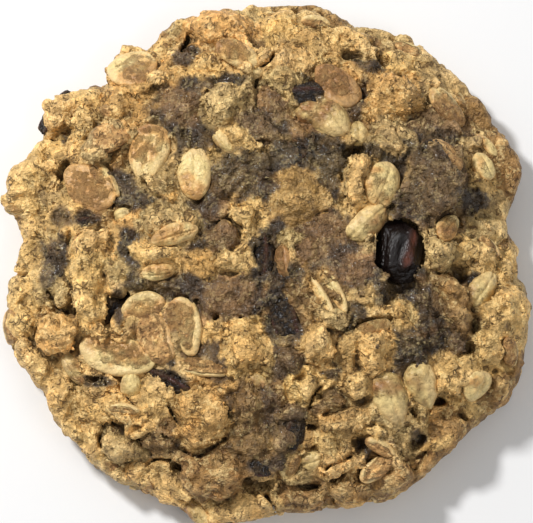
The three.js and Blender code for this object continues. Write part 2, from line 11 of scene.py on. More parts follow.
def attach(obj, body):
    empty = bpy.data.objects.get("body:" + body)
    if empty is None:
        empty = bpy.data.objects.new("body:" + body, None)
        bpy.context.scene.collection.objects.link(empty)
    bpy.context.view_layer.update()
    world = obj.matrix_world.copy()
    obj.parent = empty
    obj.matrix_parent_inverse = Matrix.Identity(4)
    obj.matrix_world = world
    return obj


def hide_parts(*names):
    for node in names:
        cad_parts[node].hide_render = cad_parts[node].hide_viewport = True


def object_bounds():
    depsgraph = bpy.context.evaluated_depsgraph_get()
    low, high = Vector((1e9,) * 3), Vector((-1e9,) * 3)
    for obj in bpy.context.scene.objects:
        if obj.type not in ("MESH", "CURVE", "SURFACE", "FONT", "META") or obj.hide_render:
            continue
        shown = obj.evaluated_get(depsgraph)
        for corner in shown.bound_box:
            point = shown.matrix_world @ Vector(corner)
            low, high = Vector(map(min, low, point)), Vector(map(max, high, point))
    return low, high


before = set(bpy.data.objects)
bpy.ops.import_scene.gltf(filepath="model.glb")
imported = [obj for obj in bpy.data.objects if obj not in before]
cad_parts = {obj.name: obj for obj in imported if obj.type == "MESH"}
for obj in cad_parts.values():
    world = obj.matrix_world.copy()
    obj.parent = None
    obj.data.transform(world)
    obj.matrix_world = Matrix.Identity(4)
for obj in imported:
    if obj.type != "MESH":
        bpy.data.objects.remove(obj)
CAD_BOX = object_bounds()

MM = 0.001

# ---------------------------------------------------------------- the cookie's form, as in its solids
CROWN_HEIGHT = 14.6      # top of the dough body, in the middle
SHOULDER_HEIGHT = 4.0    # where the rounded top meets the side wall
CROWN_POWER = 3.2        # how far out the top stays flat
CROWN_ROUNDING = 0.6     # how round the top's edge is
OUTERMOST = 0.985        # share of the rim at which the top's height stops falling
LUMP_LEAN = 0.55         # how much a lump tips with the slope that it lies on
LUMP_RISE = 1.45         # how far the lumps stand out, against the rises in their lists
OAT_LIFT = 0.45          # how far an oat's middle plane lies over the dough
RAISIN_GAP = 0.2

# The dough body's rim seen from above: (direction in degrees, radius).
RIM = (
    (0, 38.6), (10, 36.6), (22, 41.0), (45, 41.0), (68, 40.2), (82, 41.0), (97, 39.9), (110, 40.3),
    (120, 38.2), (132, 38.4), (145, 41.0), (151, 39.2), (162, 41.2), (175, 37.3), (195, 40.8), (210, 38.9),
    (224, 40.0), (250, 38.8), (258, 39.8), (272, 37.7), (285, 38.2), (294, 39.7), (318, 39.0), (334, 41.6),
    (350, 39.8),
)
# The side wall's radius as a share of the rim's, at each height.
WALL_HEIGHTS = (0.0, 0.9, 2.8, 20.0)
WALL_SHARES = (0.93, 0.972, 1.0, 1.0)

# Lumps of dough by their tone: (x, y, length, width, turn in degrees, rise over the dome).
LUMPS = {
    "golden": (
        (2.5, 30.0, 7.0, 6.0, 20, 1.2), (7.0, 33.5, 6.0, 4.6, 0, 1.0), (-32.5, 24.0, 9.5, 7.0, 50, 2.0),
        (-28.4, 25.0, 5.6, 4.8, 45, 1.5), (-28.8, 20.6, 6.0, 4.6, 90, 1.5),
        (-29.8, 17.2, 4.4, 3.6, 90, 1.2), (-37.0, 12.4, 8.8, 9.6, 10, 2.2),
        (-35.2, 17.6, 7.6, 3.8, 10, 1.3), (-33.6, 13.6, 3.6, 3.4, 0, 1.4),
        (-38.0, 8.0, 6.4, 5.4, 130, 1.5), (-37.4, 1.0, 7.4, 4.6, 80, 1.4), (-24.8, 2.6, 4.4, 3.2, 10, 1.5),
        (-38.3, -5.4, 5.6, 4.4, 80, 1.3), (-37.2, -9.6, 6.0, 5.0, 0, 1.4),
        (-34.8, -16.2, 7.6, 6.6, 90, 1.7), (-31.4, -21.8, 8.4, 7.6, 60, 1.9),
        (-5.5, -0.7, 5.0, 4.0, 0, 1.3), (13.6, 11.4, 8.2, 5.4, 90, 1.7), (31.9, 1.0, 7.0, 5.4, -45, 1.4),
        (36.0, -0.4, 4.6, 4.4, 0, 1.2), (36.0, -9.4, 11.6, 9.4, 80, 2.0), (12.8, -14.6, 5.2, 4.4, 90, 1.2),
        (34.0, -13.6, 10.0, 6.5, -10, 1.5), (28.3, -18.2, 8.5, 7.8, 0, 1.7),
        (-17.6, -21.8, 8.0, 6.4, 0, 1.4), (-27.0, -27.6, 7.5, 5.0, -40, 1.2),
        (-16.0, -34.6, 9.6, 5.4, -20, 1.5), (-4.8, -37.8, 9.8, 5.6, 0, 1.5),
        (11.2, -25.2, 8.4, 4.8, 0, 1.3), (13.4, -19.5, 5.6, 5.2, 0, 1.4), (10.6, -31.4, 6.6, 5.4, 0, 1.3),
        (12.0, 35.4, 9.0, 5.4, -10, 1.7), (-20.6, 29.6, 9.6, 6.6, -20, 1.5),
        (-4.0, 18.0, 5.6, 3.8, -20, 1.1), (18.4, -9.4, 7.0, 2.8, 8, 1.0), (33.2, 12.2, 4.6, 3.4, 90, 1.0),
        (9.6, -28.8, 5.2, 4.2, 80, 1.4),
    ),
    "orange": (
        (-22.4, 24.8, 8.4, 5.4, -10, 1.7), (-31.4, -11.2, 8.2, 7.2, 90, 2.0),
        (-10.0, -24.6, 10.0, 8.0, 90, 2.1), (-9.9, -1.8, 4.4, 3.8, 90, 1.1),
        (-20.4, -32.0, 4.0, 3.0, 0, 0.8), (-6.6, 35.4, 12.6, 8.0, 0, 2.3),
        (19.6, 25.2, 9.6, 8.2, -10, 2.0),
    ),
    "khaki": (
        (2.0, 40.0, 8.0, 3.0, 10, 0.8), (15.2, 32.5, 4.0, 3.0, 0, 1.0), (-6.5, 22.6, 7.6, 7.0, 60, 1.8),
        (17.5, 36.6, 7.0, 3.8, -30, 1.0), (26.5, 30.6, 11.0, 5.8, -40, 1.5),
        (31.8, 17.6, 6.0, 4.4, 60, 1.0), (10.6, -9.0, 4.4, 3.4, 0, 0.5), (-16.4, 11.4, 4.6, 3.2, 0, 0.9),
        (-23.4, -3.0, 4.8, 2.6, -10, 0.7), (-15.4, 4.2, 8.6, 7.0, 10, 1.6), (4.3, 3.0, 4.8, 3.2, 0, 0.9),
        (26.2, 1.2, 6.4, 6.2, 0, 1.4), (34.0, 5.6, 6.6, 5.0, 0, 1.2), (-24.6, -31.6, 6.6, 4.4, -40, 1.2),
        (-22.4, -28.4, 8.4, 5.6, -20, 1.2), (19.5, -28.0, 6.4, 3.6, 0, 1.0),
        (-31.0, -5.6, 5.2, 3.0, 110, 1.3), (-24.6, 17.8, 7.0, 5.2, 20, 1.5),
        (-34.8, 10.8, 4.0, 3.4, 0, 1.0), (7.4, 38.2, 6.0, 3.6, -10, 1.2), (2.8, 26.8, 5.2, 4.4, 20, 1.9),
        (17.8, 18.8, 5.4, 3.6, -25, 0.8),
    ),
    "pale": (
        (-27.3, -2.8, 11.0, 6.4, 88, 2.0), (-27.0, -8.0, 8.6, 5.2, 100, 1.9),
        (-26.3, 1.2, 8.2, 5.0, 15, 2.1), (-25.7, -11.8, 6.0, 5.0, 30, 1.7),
        (-3.1, -14.4, 8.2, 6.8, 90, 2.3), (1.6, 37.0, 6.4, 5.6, 0, 1.5), (19.8, 31.0, 5.4, 3.0, -10, 0.9),
        (-3.8, 6.2, 5.8, 3.6, 20, 1.5), (-3.0, 4.4, 3.4, 2.6, 90, 1.5), (7.6, -13.6, 7.2, 5.2, 80, 1.9),
        (6.0, -20.3, 5.8, 5.2, 0, 1.5), (-9.6, 30.0, 5.0, 3.2, 0, 1.7), (-5.0, 31.4, 7.0, 4.0, -10, 2.0),
        (-26.0, -29.6, 4.0, 2.2, -30, 1.2), (15.8, -14.4, 7.0, 6.0, 20, 1.6),
        (-17.0, -0.6, 6.6, 3.8, 0, 1.4), (-22.4, -23.0, 5.0, 5.0, 0, 1.2),
        (-19.6, -25.6, 5.4, 4.4, 0, 1.5),
    ),
    "amber": (
        (4.5, 9.2, 8.4, 7.8, 0, 1.4),
    ),
    "brown": (
        (8.0, 40.0, 10.0, 3.5, -15, 1.0), (-14.0, 37.0, 8.0, 5.4, 45, 1.4),
        (32.7, 24.6, 7.2, 5.6, -70, 1.6), (37.2, 15.3, 11.4, 6.6, -68, 2.1),
        (-40.4, 10.8, 2.8, 2.6, 0, 0.8), (35.6, -18.6, 6.4, 6.4, 0, 1.4), (-17.0, -27.5, 7.0, 5.0, 0, 0.9),
        (-9.0, -33.4, 11.0, 6.6, 0, 1.9), (-3.2, -22.6, 7.6, 6.0, 60, 0.9),
        (-3.0, -28.4, 7.6, 4.8, 0, 0.9), (28.4, -6.8, 10.4, 4.8, -72, 1.6),
        (5.4, -7.0, 6.2, 3.4, 100, 1.0), (9.4, -22.4, 7.0, 2.8, 20, 0.8), (4.6, -36.6, 9.4, 5.4, 0, 1.7),
        (28.2, -27.0, 9.0, 7.4, 75, 1.8), (13.5, -35.0, 8.0, 5.6, 10, 1.4),
        (19.0, -32.4, 6.8, 6.0, 20, 1.7), (24.0, -32.0, 7.0, 4.4, 35, 1.1),
    ),
    "glazed": (
        (-5.8, -6.6, 9.0, 5.6, 0, 0.9), (7.8, 3.0, 8.0, 7.0, 0, 0.8), (11.5, -2.6, 4.8, 4.6, 90, 0.8),
        (-13.9, 23.0, 7.0, 5.6, 30, 0.6), (-7.6, 2.6, 4.6, 3.6, 20, 0.6), (1.6, 23.4, 5.6, 3.4, -55, 0.7),
    ),
    "dark": (
        (-2.0, 19.6, 6.0, 4.0, -20, 0.6), (26.5, 20.7, 9.0, 2.8, -5, 0.6), (28.5, -13.0, 3.2, 3.0, 0, 1.1),
        (25.0, 11.8, 13.4, 10.8, 90, 2.4), (3.0, -16.4, 4.0, 5.0, 90, 0.8),
        (-7.6, -15.6, 4.4, 4.0, 0, 0.6), (2.2, -27.8, 4.4, 3.8, 0, 1.7), (4.4, -24.0, 3.8, 3.2, 0, 1.6),
    ),
}
TONE_NAMES = tuple(LUMPS)

# Each tone's colour (sRGB, 0 to 255, as all colours here), how crumbly its surface is, how clear of the juice
# it stays and how glossy it is all the same.
TONES = {
    "golden": ((219, 178, 111), 1.0, 0.98, 0.0),
    "orange": ((212, 164, 96), 0.8, 1.0, 0.0),
    "khaki": ((197, 164, 107), 1.0, 0.95, 0.0),
    "pale": ((250, 203, 126), 1.0, 1.0, 0.0),
    "amber": ((190, 149, 86), 0.4, 0.95, 0.45),
    "brown": ((157, 120, 70), 0.9, 0.60, 0.1),
    "glazed": ((168, 128, 81), 0.45, 0.45, 0.6),
    "dark": ((140, 111, 73), 0.85, 0.4, 0.3),
}
BARE_DOUGH = ((140, 107, 66), 0.7, 0.0, 0.2)    # the same for the dough between the lumps
COLOUR, CRUMBLY, CLEAR, GLOSSY = range(4)
FILLING_CLEAR = 0.12              # how clear the lumps that only fill gaps stay
GLAZED_DOUGH = (104, 79, 54)      # dough that the raisins' juice has glazed
# the soaked colour also paints the two shadow strips among the patches
STAINED_AND_SHADOWED_DOUGH = (42, 33, 26)      # and where it has soaked in
# painted shade: the colour that the dough's hollows and crevices are darkened towards
PAINTED_CREVICE_SHADE = (54, 40, 26)
PALE_CRUMB = (236, 196, 130)      # the paler crumb in every lump
TOASTING = (0.86, 0.74, 0.58)     # the shares of red, green and blue that toasting leaves
BROWNED_BASE = (146, 106, 64)     # the underside, where it lay on the tray
DARKEST_DOUGH, BRIGHTEST_DOUGH = 0.002, 0.95    # as linear values
OAT_CREAM = (248, 220, 150)
OAT_MIDDLE = (220, 170, 102)      # a rolled oat that is half toasted
KERNEL_MIDDLE = (200, 170, 110)   # and a kernel
OAT_TOASTED = (166, 120, 72)
OAT_RIM = (240, 202, 144)
BRIGHTEST_OAT = 0.86
OAT_CRUST = (226, 178, 112), (180, 132, 80)     # crumbs of dough on an oat, from pale to brown
LIT_CRUMB = (250, 226, 162)       # the facets of crumb that catch the light
# painted shade: the colour that creases and pores of crumb are darkened towards
PAINTED_PORE_SHADE = (100, 64, 32)
RAISIN_SKIN = (14, 10, 10), (30, 20, 17)
RAISIN_REDDISH = (104, 56, 40)    # where the skin is thin
RAISIN_CRUST = (58, 46, 30), (116, 92, 60)      # juice and dough dried on the skin

# Where the ground between the lumps is moist with the raisins' juice, and two strips of painted shadow: (x, y,
# length, width, turn in degrees, how dark from 0 to 1).
JUICE_AND_SHADOW_PATCHES = (
    (-5.5, 11.5, 15.0, 8.0, 0, 0.95), (5.0, 15.6, 19.0, 7.4, 4, 1.0), (9.5, 16.8, 9.0, 6.0, -20, 1.0),
    # the strip at (-9.0, 27.2) is painted shadow under the edge of the big lump at (-6.6, 35.4)
    (-11.5, 19.0, 10.0, 7.0, -35, 0.85), (-9.0, 27.2, 14.0, 3.4, 2, 0.95), (0.5, 20.5, 9.0, 7.0, 0, 0.65),
    (-13.6, 23.4, 9.0, 7.5, 20, 0.65), (-20.0, 8.6, 11.0, 5.0, -10, 0.85),
    (-31.8, 6.6, 5.0, 3.6, 90, 0.45), (-33.0, -0.8, 11.5, 5.4, 88, 0.8), (-21.0, 0.4, 10.4, 4.8, 100, 1.0),
    (-22.8, -8.4, 6.6, 3.8, 90, 0.8), (-13.5, -5.2, 10.0, 5.0, 0, 0.75), (-6.0, -6.6, 12.0, 8.0, 0, 0.3),
    (-0.5, -0.5, 9.0, 7.0, 95, 1.0), (2.5, -9.5, 12.0, 7.0, -65, 1.0), (2.0, 4.4, 5.0, 4.0, 0, 0.9),
    (8.5, 2.4, 13.0, 11.0, 0, 0.35), (9.4, 10.4, 5.0, 6.0, 0, 0.7), (9.9, 14.2, 6.8, 6.0, 0, 1.0),
    (19.7, -0.4, 13.4, 9.6, 84, 1.0), (13.4, -3.0, 8.0, 8.0, 0, 0.35), (16.6, -3.4, 5.4, 3.0, 90, 1.0),
    (12.6, -9.2, 7.0, 4.0, -10, 0.85), (11.3, -15.5, 9.0, 2.6, 80, 0.9), (2.8, -16.4, 8.0, 4.6, 80, 0.5),
    (-7.6, -15.6, 5.0, 4.0, 0, 0.9), (28.6, -12.6, 4.4, 4.4, 0, 0.9), (9.2, -22.4, 7.0, 3.2, 20, 0.8),
    (4.2, -24.4, 5.4, 4.4, 80, 0.9), (25.2, 11.2, 13.0, 12.0, 90, 0.35), (20.5, 7.0, 8.0, 4.0, -10, 0.85),
    (31.2, 9.0, 7.0, 5.5, 0, 0.85), (27.0, 19.0, 12.0, 4.0, -6, 0.9), (17.8, 16.2, 14.0, 5.2, -3, 1.0),
    (22.8, -9.0, 14.0, 9.0, 80, 0.75), (21.8, -14.6, 14.0, 8.0, 5, 0.9), (17.2, -17.6, 6.0, 3.4, 0, 1.0),
    (30.4, -1.8, 5.6, 4.0, -50, 0.9), (3.8, -26.0, 8.0, 5.6, 80, 0.7), (-2.4, -24.0, 12.0, 9.0, 90, 0.35),
    (-1.2, -31.4, 8.0, 4.6, 0, 0.8), (-3.4, -29.6, 7.0, 4.6, 0, 0.6), (-14.6, -19.0, 7.6, 3.8, -15, 1.0),
    (-26.8, -19.0, 7.0, 1.8, -8, 0.6), (-16.6, -27.6, 8.0, 6.0, 0, 0.4), (14.3, -29.4, 4.4, 3.6, 90, 0.8),
    (23.2, -27.4, 3.2, 3.2, 0, 0.7), (14.0, -22.2, 3.0, 2.0, 20, 0.8), (15.8, 30.8, 8.0, 3.0, -20, 0.8),
    (6.0, 26.4, 6.6, 4.6, 0, 0.85), (-12.8, 32.8, 5.6, 3.6, 45, 0.7), (-31.6, 20.0, 4.4, 3.4, 0, 0.7),
    (-31.4, 14.8, 4.0, 3.4, 0, 0.85), (1.8, 23.0, 7.0, 3.6, -50, 0.2), (-8.0, -18.4, 6.0, 3.0, -30, 0.6),
    (-29.3, -13.8, 4.4, 2.4, 90, 0.85), (31.0, -10.4, 5.0, 2.6, 30, 0.8), (8.6, -18.0, 5.0, 2.0, -20, 0.7),
    (13.8, 24.2, 8.6, 3.6, 80, 0.95), (17.8, -5.4, 6.4, 5.6, 90, 1.0), (21.6, -5.6, 6.0, 6.0, 0, 0.9),
    (3.2, -4.4, 9.0, 6.0, -70, 1.0), (-8.2, 2.4, 9.0, 6.4, 0, 0.55), (-10.4, 7.0, 7.0, 4.4, 20, 0.85),
    # the strip at (-18.5, -4.6) is painted shadow along the top of the hooked oat at (-18.9, -8.0)
    (-22.4, 11.6, 6.0, 3.4, -50, 0.8), (-18.5, -4.6, 8.4, 2.2, 0, 0.95), (17.6, 16.4, 6.0, 2.0, -5, 1.0),
    (-14.8, -16.6, 3.0, 2.0, -60, 1.0), (-27.6, 5.4, 5.0, 4.0, 0, 0.9), (-2.0, 2.0, 4.0, 4.0, 0, 0.9),
    (5.4, -17.4, 5.0, 2.4, 60, 0.8),
)

# Rolled oats lying on the dough: (x, y, length, width, turn in degrees, how toasted, how far coated with
# crumb, how far the middle is sunk within a raised lip, the direction of the palest rim in degrees).
OATS = (
    (-21.1, 30.2, 9.0, 7.2, -35, 0.22, 0.32, 0.4, 130), (-18.3, 16.2, 9.6, 6.2, 80, 0.50, 0.35, 0.0, -50),
    (-27.4, 10.9, 10.2, 6.4, -38, 0.62, 0.40, 0.35, 52), (-25.0, 12.0, 7.4, 2.8, -52, 0.50, 0.40, 0.0, 40),
    (-24.5, 18.2, 7.0, 4.8, 20, 0.45, 1.90, 0.1, 180), (10.6, 26.8, 8.8, 5.8, -45, 0.92, 0.35, 0.0, -30),
    (-11.2, 12.6, 8.6, 5.2, 92, 0.10, 0.00, 0.0, 80), (-4.6, 31.6, 7.6, 4.2, -30, 0.25, 0.35, 0.1, -20),
    (27.6, 24.2, 8.0, 4.2, -58, 0.45, 0.65, 0.0, 60), (33.2, 14.6, 4.8, 3.6, 110, 0.05, 0.10, 0.0, 60),
    (17.4, 11.1, 7.4, 5.8, 70, 0.15, 0.20, 0.0, 10), (-14.4, 3.0, 7.4, 3.4, 15, 0.10, 0.20, 0.1, -40),
    (-16.8, -2.5, 5.2, 2.8, 8, 0.05, 0.20, 0.0, -90), (-18.9, -8.0, 7.0, 4.6, 12, 0.35, 0.40, 0.5, 110),
    (-17.1, -12.6, 9.4, 5.4, 110, 0.65, 1.15, 0.6, 15),
    (-22.8, -15.2, 12.4, 6.2, -14, 0.25, 0.35, 0.5, -125),
    (-12.6, -11.0, 9.2, 5.2, 104, 0.25, 0.55, 0.6, -15),
    (-10.0, -17.3, 8.2, 2.8, -8, 0.30, 0.75, 0.4, -100), (27.4, 4.5, 5.6, 3.4, 45, 0.25, 0.40, 0.0, 45),
    (16.0, -11.6, 6.0, 2.6, 18, 0.30, 0.45, 0.0, 90), (31.6, -19.4, 5.4, 5.0, 80, 0.10, 0.05, 0.0, 0),
    (17.2, -28.8, 5.6, 2.4, -38, 0.45, 0.95, 0.1, 60), (16.6, -32.2, 6.4, 3.0, 35, 0.35, 0.90, 0.1, 160),
    (-21.8, -23.4, 5.2, 1.8, -8, 0.15, 0.60, 0.1, 90), (21.8, 33.9, 5.5, 2.8, -30, 0.30, 0.95, 0.3, 60),
    (-24.3, 23.2, 3.6, 2.4, -25, 0.30, 0.90, 0.0, 0), (3.2, -31.4, 5.0, 3.4, 75, 0.20, 0.55, 0.0, 180),
    (-39.0, 8.6, 4.2, 1.8, 15, 0.10, 0.40, 0.0, -120), (36.8, -14.2, 5.5, 2.6, -60, 0.50, 1.20, 0.2, 0),
    (27.4, 15.4, 6.6, 4.2, -58, 0.80, 0.95, 0.1, 60), (-2.9, 29.0, 4.8, 2.4, -8, 0.00, 0.00, 0.0, 0),
)
# Slivers of oat that show little but a pale edge: (x, y, length, width, turn, toasted, coated, tilt).
SLIVERS = (
    (-23.2, -32.0, 4.6, 2.6, -30, 0.3, 0.8, 30), (8.1, -6.2, 8.2, 1.7, -58, 0.0, 0.1, 20),
    (10.3, -5.7, 7.4, 2.2, -62, 0.0, 0.2, 15), (34.0, 18.3, 4.5, 1.8, -45, 0.1, 0.2, 40),
    (29.8, 26.0, 4.5, 2.2, -60, 0.3, 0.7, 30), (-1.0, 39.0, 5.0, 2.0, 5, 0.3, 0.6, 30),
    (7.5, 38.0, 4.6, 2.2, -10, 0.3, 0.8, 20), (34.0, 2.6, 5.0, 2.4, -45, 0.4, 0.8, 30),
)
# Plump oat kernels: (x, y, length, width, turn in degrees, how toasted, direction of the palest side).
KERNELS = (
    (9.8, 21.2, 7.2, 5.8, -50, 0.42, -60), (6.6, 22.6, 4.6, 3.6, 0, 0.45, 0),
    (13.9, 19.2, 3.8, 3.2, 95, 0.15, 0), (15.2, 5.0, 7.8, 4.4, 42, 0.35, 130),
    (32.9, -4.5, 7.0, 4.2, 52, 0.28, 60), (-6.9, 17.6, 5.2, 2.8, -50, 0.35, 60),
    (-28.7, 3.0, 4.6, 2.6, 25, 0.40, 0), (-21.0, -19.6, 4.2, 3.2, 75, 0.10, 180),
    (23.4, -19.8, 7.6, 5.2, -75, 0.22, 0), (18.6, -22.0, 8.8, 5.8, -68, 0.38, -80),
    (-29.7, -17.0, 6.2, 2.8, -55, 0.45, 150), (-10.6, -38.9, 6.0, 2.6, -48, 0.40, 0),
    (-1.4, -19.4, 3.6, 2.2, -40, 0.40, 0), (2.5, -1.1, 5.4, 3.2, 98, 0.85, 0),
    (6.6, -31.0, 4.0, 3.2, 20, 0.30, 0), (-22.3, 6.4, 2.8, 2.2, 20, 0.05, 0),
)
# Raisins: CAD node, centre, size along its own axes, turn about Z in degrees, crests, their depth, how much
# dough and juice dulls the skin from 0 to 1, how many knobs of dough lap over it, the bared share of its
# width.
RAISINS = (
    ("raisin_right", (20.2, 0.9, 12.7), (10.2, 7.8, 7.2), 84, 4, 0.30, 0.0, 0, 1.0),
    ("raisin_centre_upper", (-0.6, -0.4, 13.4), (8.6, 4.6, 4.8), 92, 4, 0.24, 0.8, 9, 0.95),
    ("raisin_centre_lower", (2.7, -9.8, 13.3), (10.4, 5.0, 5.0), -68, 4, 0.24, 0.8, 14, 0.8),
    ("raisin_lower_left", (-14.3, -18.9, 11.7), (8.6, 6.0, 5.0), -20, 4, 0.24, 0.7, 10, 0.7),
    ("raisin_left_hollow", (-23.4, -8.3, 9.9), (7.8, 4.6, 4.6), 88, 4, 0.20, 1.0, 7, 0.65),
    ("raisin_left_small", (-20.9, -0.9, 13.0), (4.6, 3.0, 3.4), 80, 3, 0.24, 0.6, 5, 0.8),
    ("raisin_left_upper", (-27.4, 5.2, 11.8), (5.0, 3.6, 3.4), 20, 3, 0.24, 0.8, 10, 0.7),
    ("raisin_left_rim", (-32.6, 24.1, 6.3), (8.2, 3.8, 4.2), 52, 4, 0.20, 0.5, 3, 0.7),
    ("raisin_top", (5.8, 25.4, 12.5), (7.0, 4.8, 4.4), 5, 4, 0.24, 0.5, 16, 0.5),
    ("raisin_upper_middle", (4.5, 15.5, 13.9), (4.2, 2.8, 2.8), 60, 3, 0.24, 0.9, 8, 0.7),
    ("raisin_lower_middle", (3.6, -26.3, 12.0), (6.6, 4.6, 4.4), 75, 4, 0.24, 0.8, 14, 0.55),
    ("raisin_lower_small", (-1.5, -31.9, 10.9), (5.0, 3.8, 3.4), -5, 3, 0.20, 0.9, 10, 0.6),
    ("raisin_bottom_rim", (-7.2, -39.0, 5.0), (4.4, 3.0, 3.0), -10, 3, 0.20, 0.7, 3, 0.7),
)
# The flat facets of the largest raisin: (direction about its length in degrees, tip to one end, how far out).
FACETS = (
    (-12, 0.15, 0.86), (32, -0.12, 0.74), (66, 0.18, 0.80), (100, -0.20, 0.70), (136, 0.12, 0.74),
    (172, 0.0, 0.86), (215, 0.1, 0.85), (270, 0.0, 0.90), (320, -0.1, 0.88), (80, 1.5, 0.80),
    (110, -1.3, 0.78), (20, -1.6, 0.86), (165, 1.7, 0.84), (250, 1.5, 0.88), (260, -1.5, 0.88),
)
# The folds between its facets: (direction about its length in radians, depth); and its reddish stripe.
FOLDS = ((-0.1, 0.13), (1.0, 0.08), (-1.2, 0.08), (2.4, 0.08), (-2.5, 0.08))
REDDISH_PLACE = -0.62
# Pits in the top: (x, y, length, width, turn in degrees, depth).
PITS = (
    (-2.0, -34.2, 4.4, 3.0, 0, 4.0), (14.3, -29.6, 3.0, 2.0, 100, 2.4), (23.3, -27.5, 2.6, 1.9, 60, 2.2),
    (-14.7, -32.3, 2.2, 2.0, -40, 2.6), (14.2, -22.2, 2.4, 1.6, 20, 1.8), (-22.9, -8.4, 6.8, 3.6, 90, 3.2),
    (-31.6, 20.2, 3.0, 2.4, 0, 2.2), (29.9, -2.3, 3.6, 1.8, -65, 2.4), (30.2, -13.6, 2.4, 2.0, 0, 2.2),
    (26.6, -22.8, 2.6, 1.4, -10, 2.4), (-29.4, -19.4, 2.4, 1.6, -20, 2.2), (13.3, 32.3, 2.0, 1.6, 0, 2.0),
    (-10.7, 37.5, 2.0, 1.8, 0, 2.2), (17.4, 31.2, 2.4, 1.6, 0, 2.0), (-31.6, 13.8, 3.6, 1.6, 80, 2.4),
    (12.4, 16.3, 2.6, 2.0, 40, 2.0), (17.0, 1.2, 6.5, 2.6, 80, 3.0), (20.6, -4.9, 5.0, 2.6, -10, 2.4),
    (18.0, -6.0, 4.0, 3.0, 80, 1.6), (-26.9, -19.2, 2.2, 1.0, 0, 1.8), (-22.8, -18.5, 1.8, 1.2, 0, 1.8),
    (-20.5, -26.4, 2.0, 1.0, 25, 1.6), (22.0, -22.9, 2.0, 1.1, -60, 2.0), (30.1, -24.3, 1.8, 1.0, 0, 1.8),
    (6.7, -26.6, 1.6, 0.9, 20, 1.6), (5.0, -18.6, 2.2, 0.9, 60, 1.6), (-15.3, -27.6, 1.6, 0.9, -20, 1.4),
    (31.5, -10.0, 2.6, 1.2, 30, 1.8), (-18.1, 11.1, 1.5, 1.2, 0, 1.6), (-7.7, -10.2, 1.3, 1.2, 0, 1.4),
    (-29.5, -14.2, 3.0, 1.5, 90, 2.2),
)
# Cracks in the dough: (width, depth, the points that it runs through).
CRACKS = (
    (0.9, 1.8, ((-13.2, -29.6), (-10.2, -30.4), (-7.4, -29.3))),
    (0.7, 1.6, ((-19.2, -32.1), (-15.6, -31.0))),
    (0.8, 1.7, ((-15.2, -23.4), (-12.4, -26.3))),
    (0.7, 1.5, ((-24.6, -24.2), (-22.4, -26.0))),
    (0.9, 1.8, ((-1.2, -35.4), (0.6, -37.8))),
    (0.8, 1.7, ((4.4, -34.6), (8.2, -34.8))),
    (0.8, 1.7, ((9.4, -32.6), (12.8, -31.3))),
    (0.9, 2.0, ((-33.2, -4.8), (-31.6, -7.2), (-29.2, -8.4))),
    (0.8, 1.8, ((-1.6, 26.0), (-0.8, 28.6), (1.6, 32.4))),
    (0.9, 2.0, ((-12.2, 35.0), (-13.9, 32.8))),
    (0.8, 1.7, ((8.3, -20.0), (6.4, -22.8))),
)
# The lumps that stand out of the side wall, spread round the cookie by a seeded rule, as in the solids.
WALL_LUMPS = 34
WALL_SEED = 7
WALL_LENGTH, WALL_WIDTH, WALL_RISE, WALL_LEVEL = (4.5, 8.0), (3.2, 5.0), (0.7, 1.3), (2.6, 5.4)

# ---------------------------------------------------------------- meshing
GRID_STEP = 0.3
GRID_LOW = np.array((-44.5, -44.5, -1.1))
GRID_SIZE = np.array((89.0, 89.0, 20.6))
DOUGH_TRIANGLES = 190_000
FILL = 0.5               # how far the dough fills up between the lumps
WALL_REACH = 1.35        # how far lumps at the rim may stand out of the side wall
LUMP_BLEND = 1.0         # how widely a listed lump runs into what it lies on
FILLING_BLEND = 2.2      # and one that only fills the dough between them
BLEND_REACH = 3.6        # how far out of its ellipsoid a form may change the dough
LUMP_POWER = 2.3         # how flat-topped lumps are, where 2 is an ellipsoid
FILLING_TRIES = 5200     # places tried for lumps that fill the top between the listed ones
WALL_FILLINGS = 150      # lumps that fill the side wall
NODULES = 450
WALL_OATS = 30           # coated oats in the side wall
CRUMBS = 5000
OAT_STEEPEST = 0.9       # the steepest slope that an oat follows
SEED = 41


# ---------------------------------------------------------------- small helpers
def seeded(i, seed):
    """The solids' repeatable random number from 0 to 1 for a whole number i."""
    wave = math.sin(i * 12.9898 + seed * 78.233) * 43758.5453
    return wave - math.floor(wave)


def smoothstep(value, low, high):
    share = np.clip((value - low) / (high - low), 0, 1)
    return share * share * (3 - 2 * share)


def linear(rgb):
    """An sRGB colour of 0 to 255 as the linear values that a shader takes."""
    share = np.asarray(rgb, float) / 255
    return np.where(share <= 0.04045, share / 12.92, ((share + 0.055) / 1.055) ** 2.4)


def cos_sin(degrees):
    return math.cos(math.radians(degrees)), math.sin(math.radians(degrees))


def raised(height):
    """A shift along the Z of the frame before it."""
    return Matrix.Translation((0, 0, height))


NOISE_SIZE = 64
NOISE = np.random.default_rng(SEED).uniform(-1, 1, (NOISE_SIZE,) * 3)


def noise_at(points, seed=0):
    """Smooth random values from -1 to 1 at points, with features about one unit wide."""
    shifted = np.asarray(points, float) + seed * 7.31
    cell = np.floor(shifted).astype(int)
    way = shifted - cell
    way = way * way * (3 - 2 * way)
    total = 0
    for corner in np.ndindex(2, 2, 2):
        at = (cell + corner) % NOISE_SIZE
        weight = np.prod(np.where(corner, way, 1 - way), axis=-1)
        total = total + weight * NOISE[at[..., 0], at[..., 1], at[..., 2]]
    return total


# ---------------------------------------------------------------- the smooth body and what lies on it
def rim_radius(angle):
    """The rim's radius in a direction, eased from each RIM point to the next."""
    directions = np.array([direction for direction, _ in RIM] + [360.0])
    radii = np.array([radius for _, radius in RIM] + [RIM[0][1]])
    degrees = np.degrees(angle) % 360
    after = np.clip(np.searchsorted(directions, degrees, side="right"), 1, len(RIM))
    way = smoothstep(degrees, directions[after - 1], directions[after])
    return radii[after - 1] + way * (radii[after] - radii[after - 1])


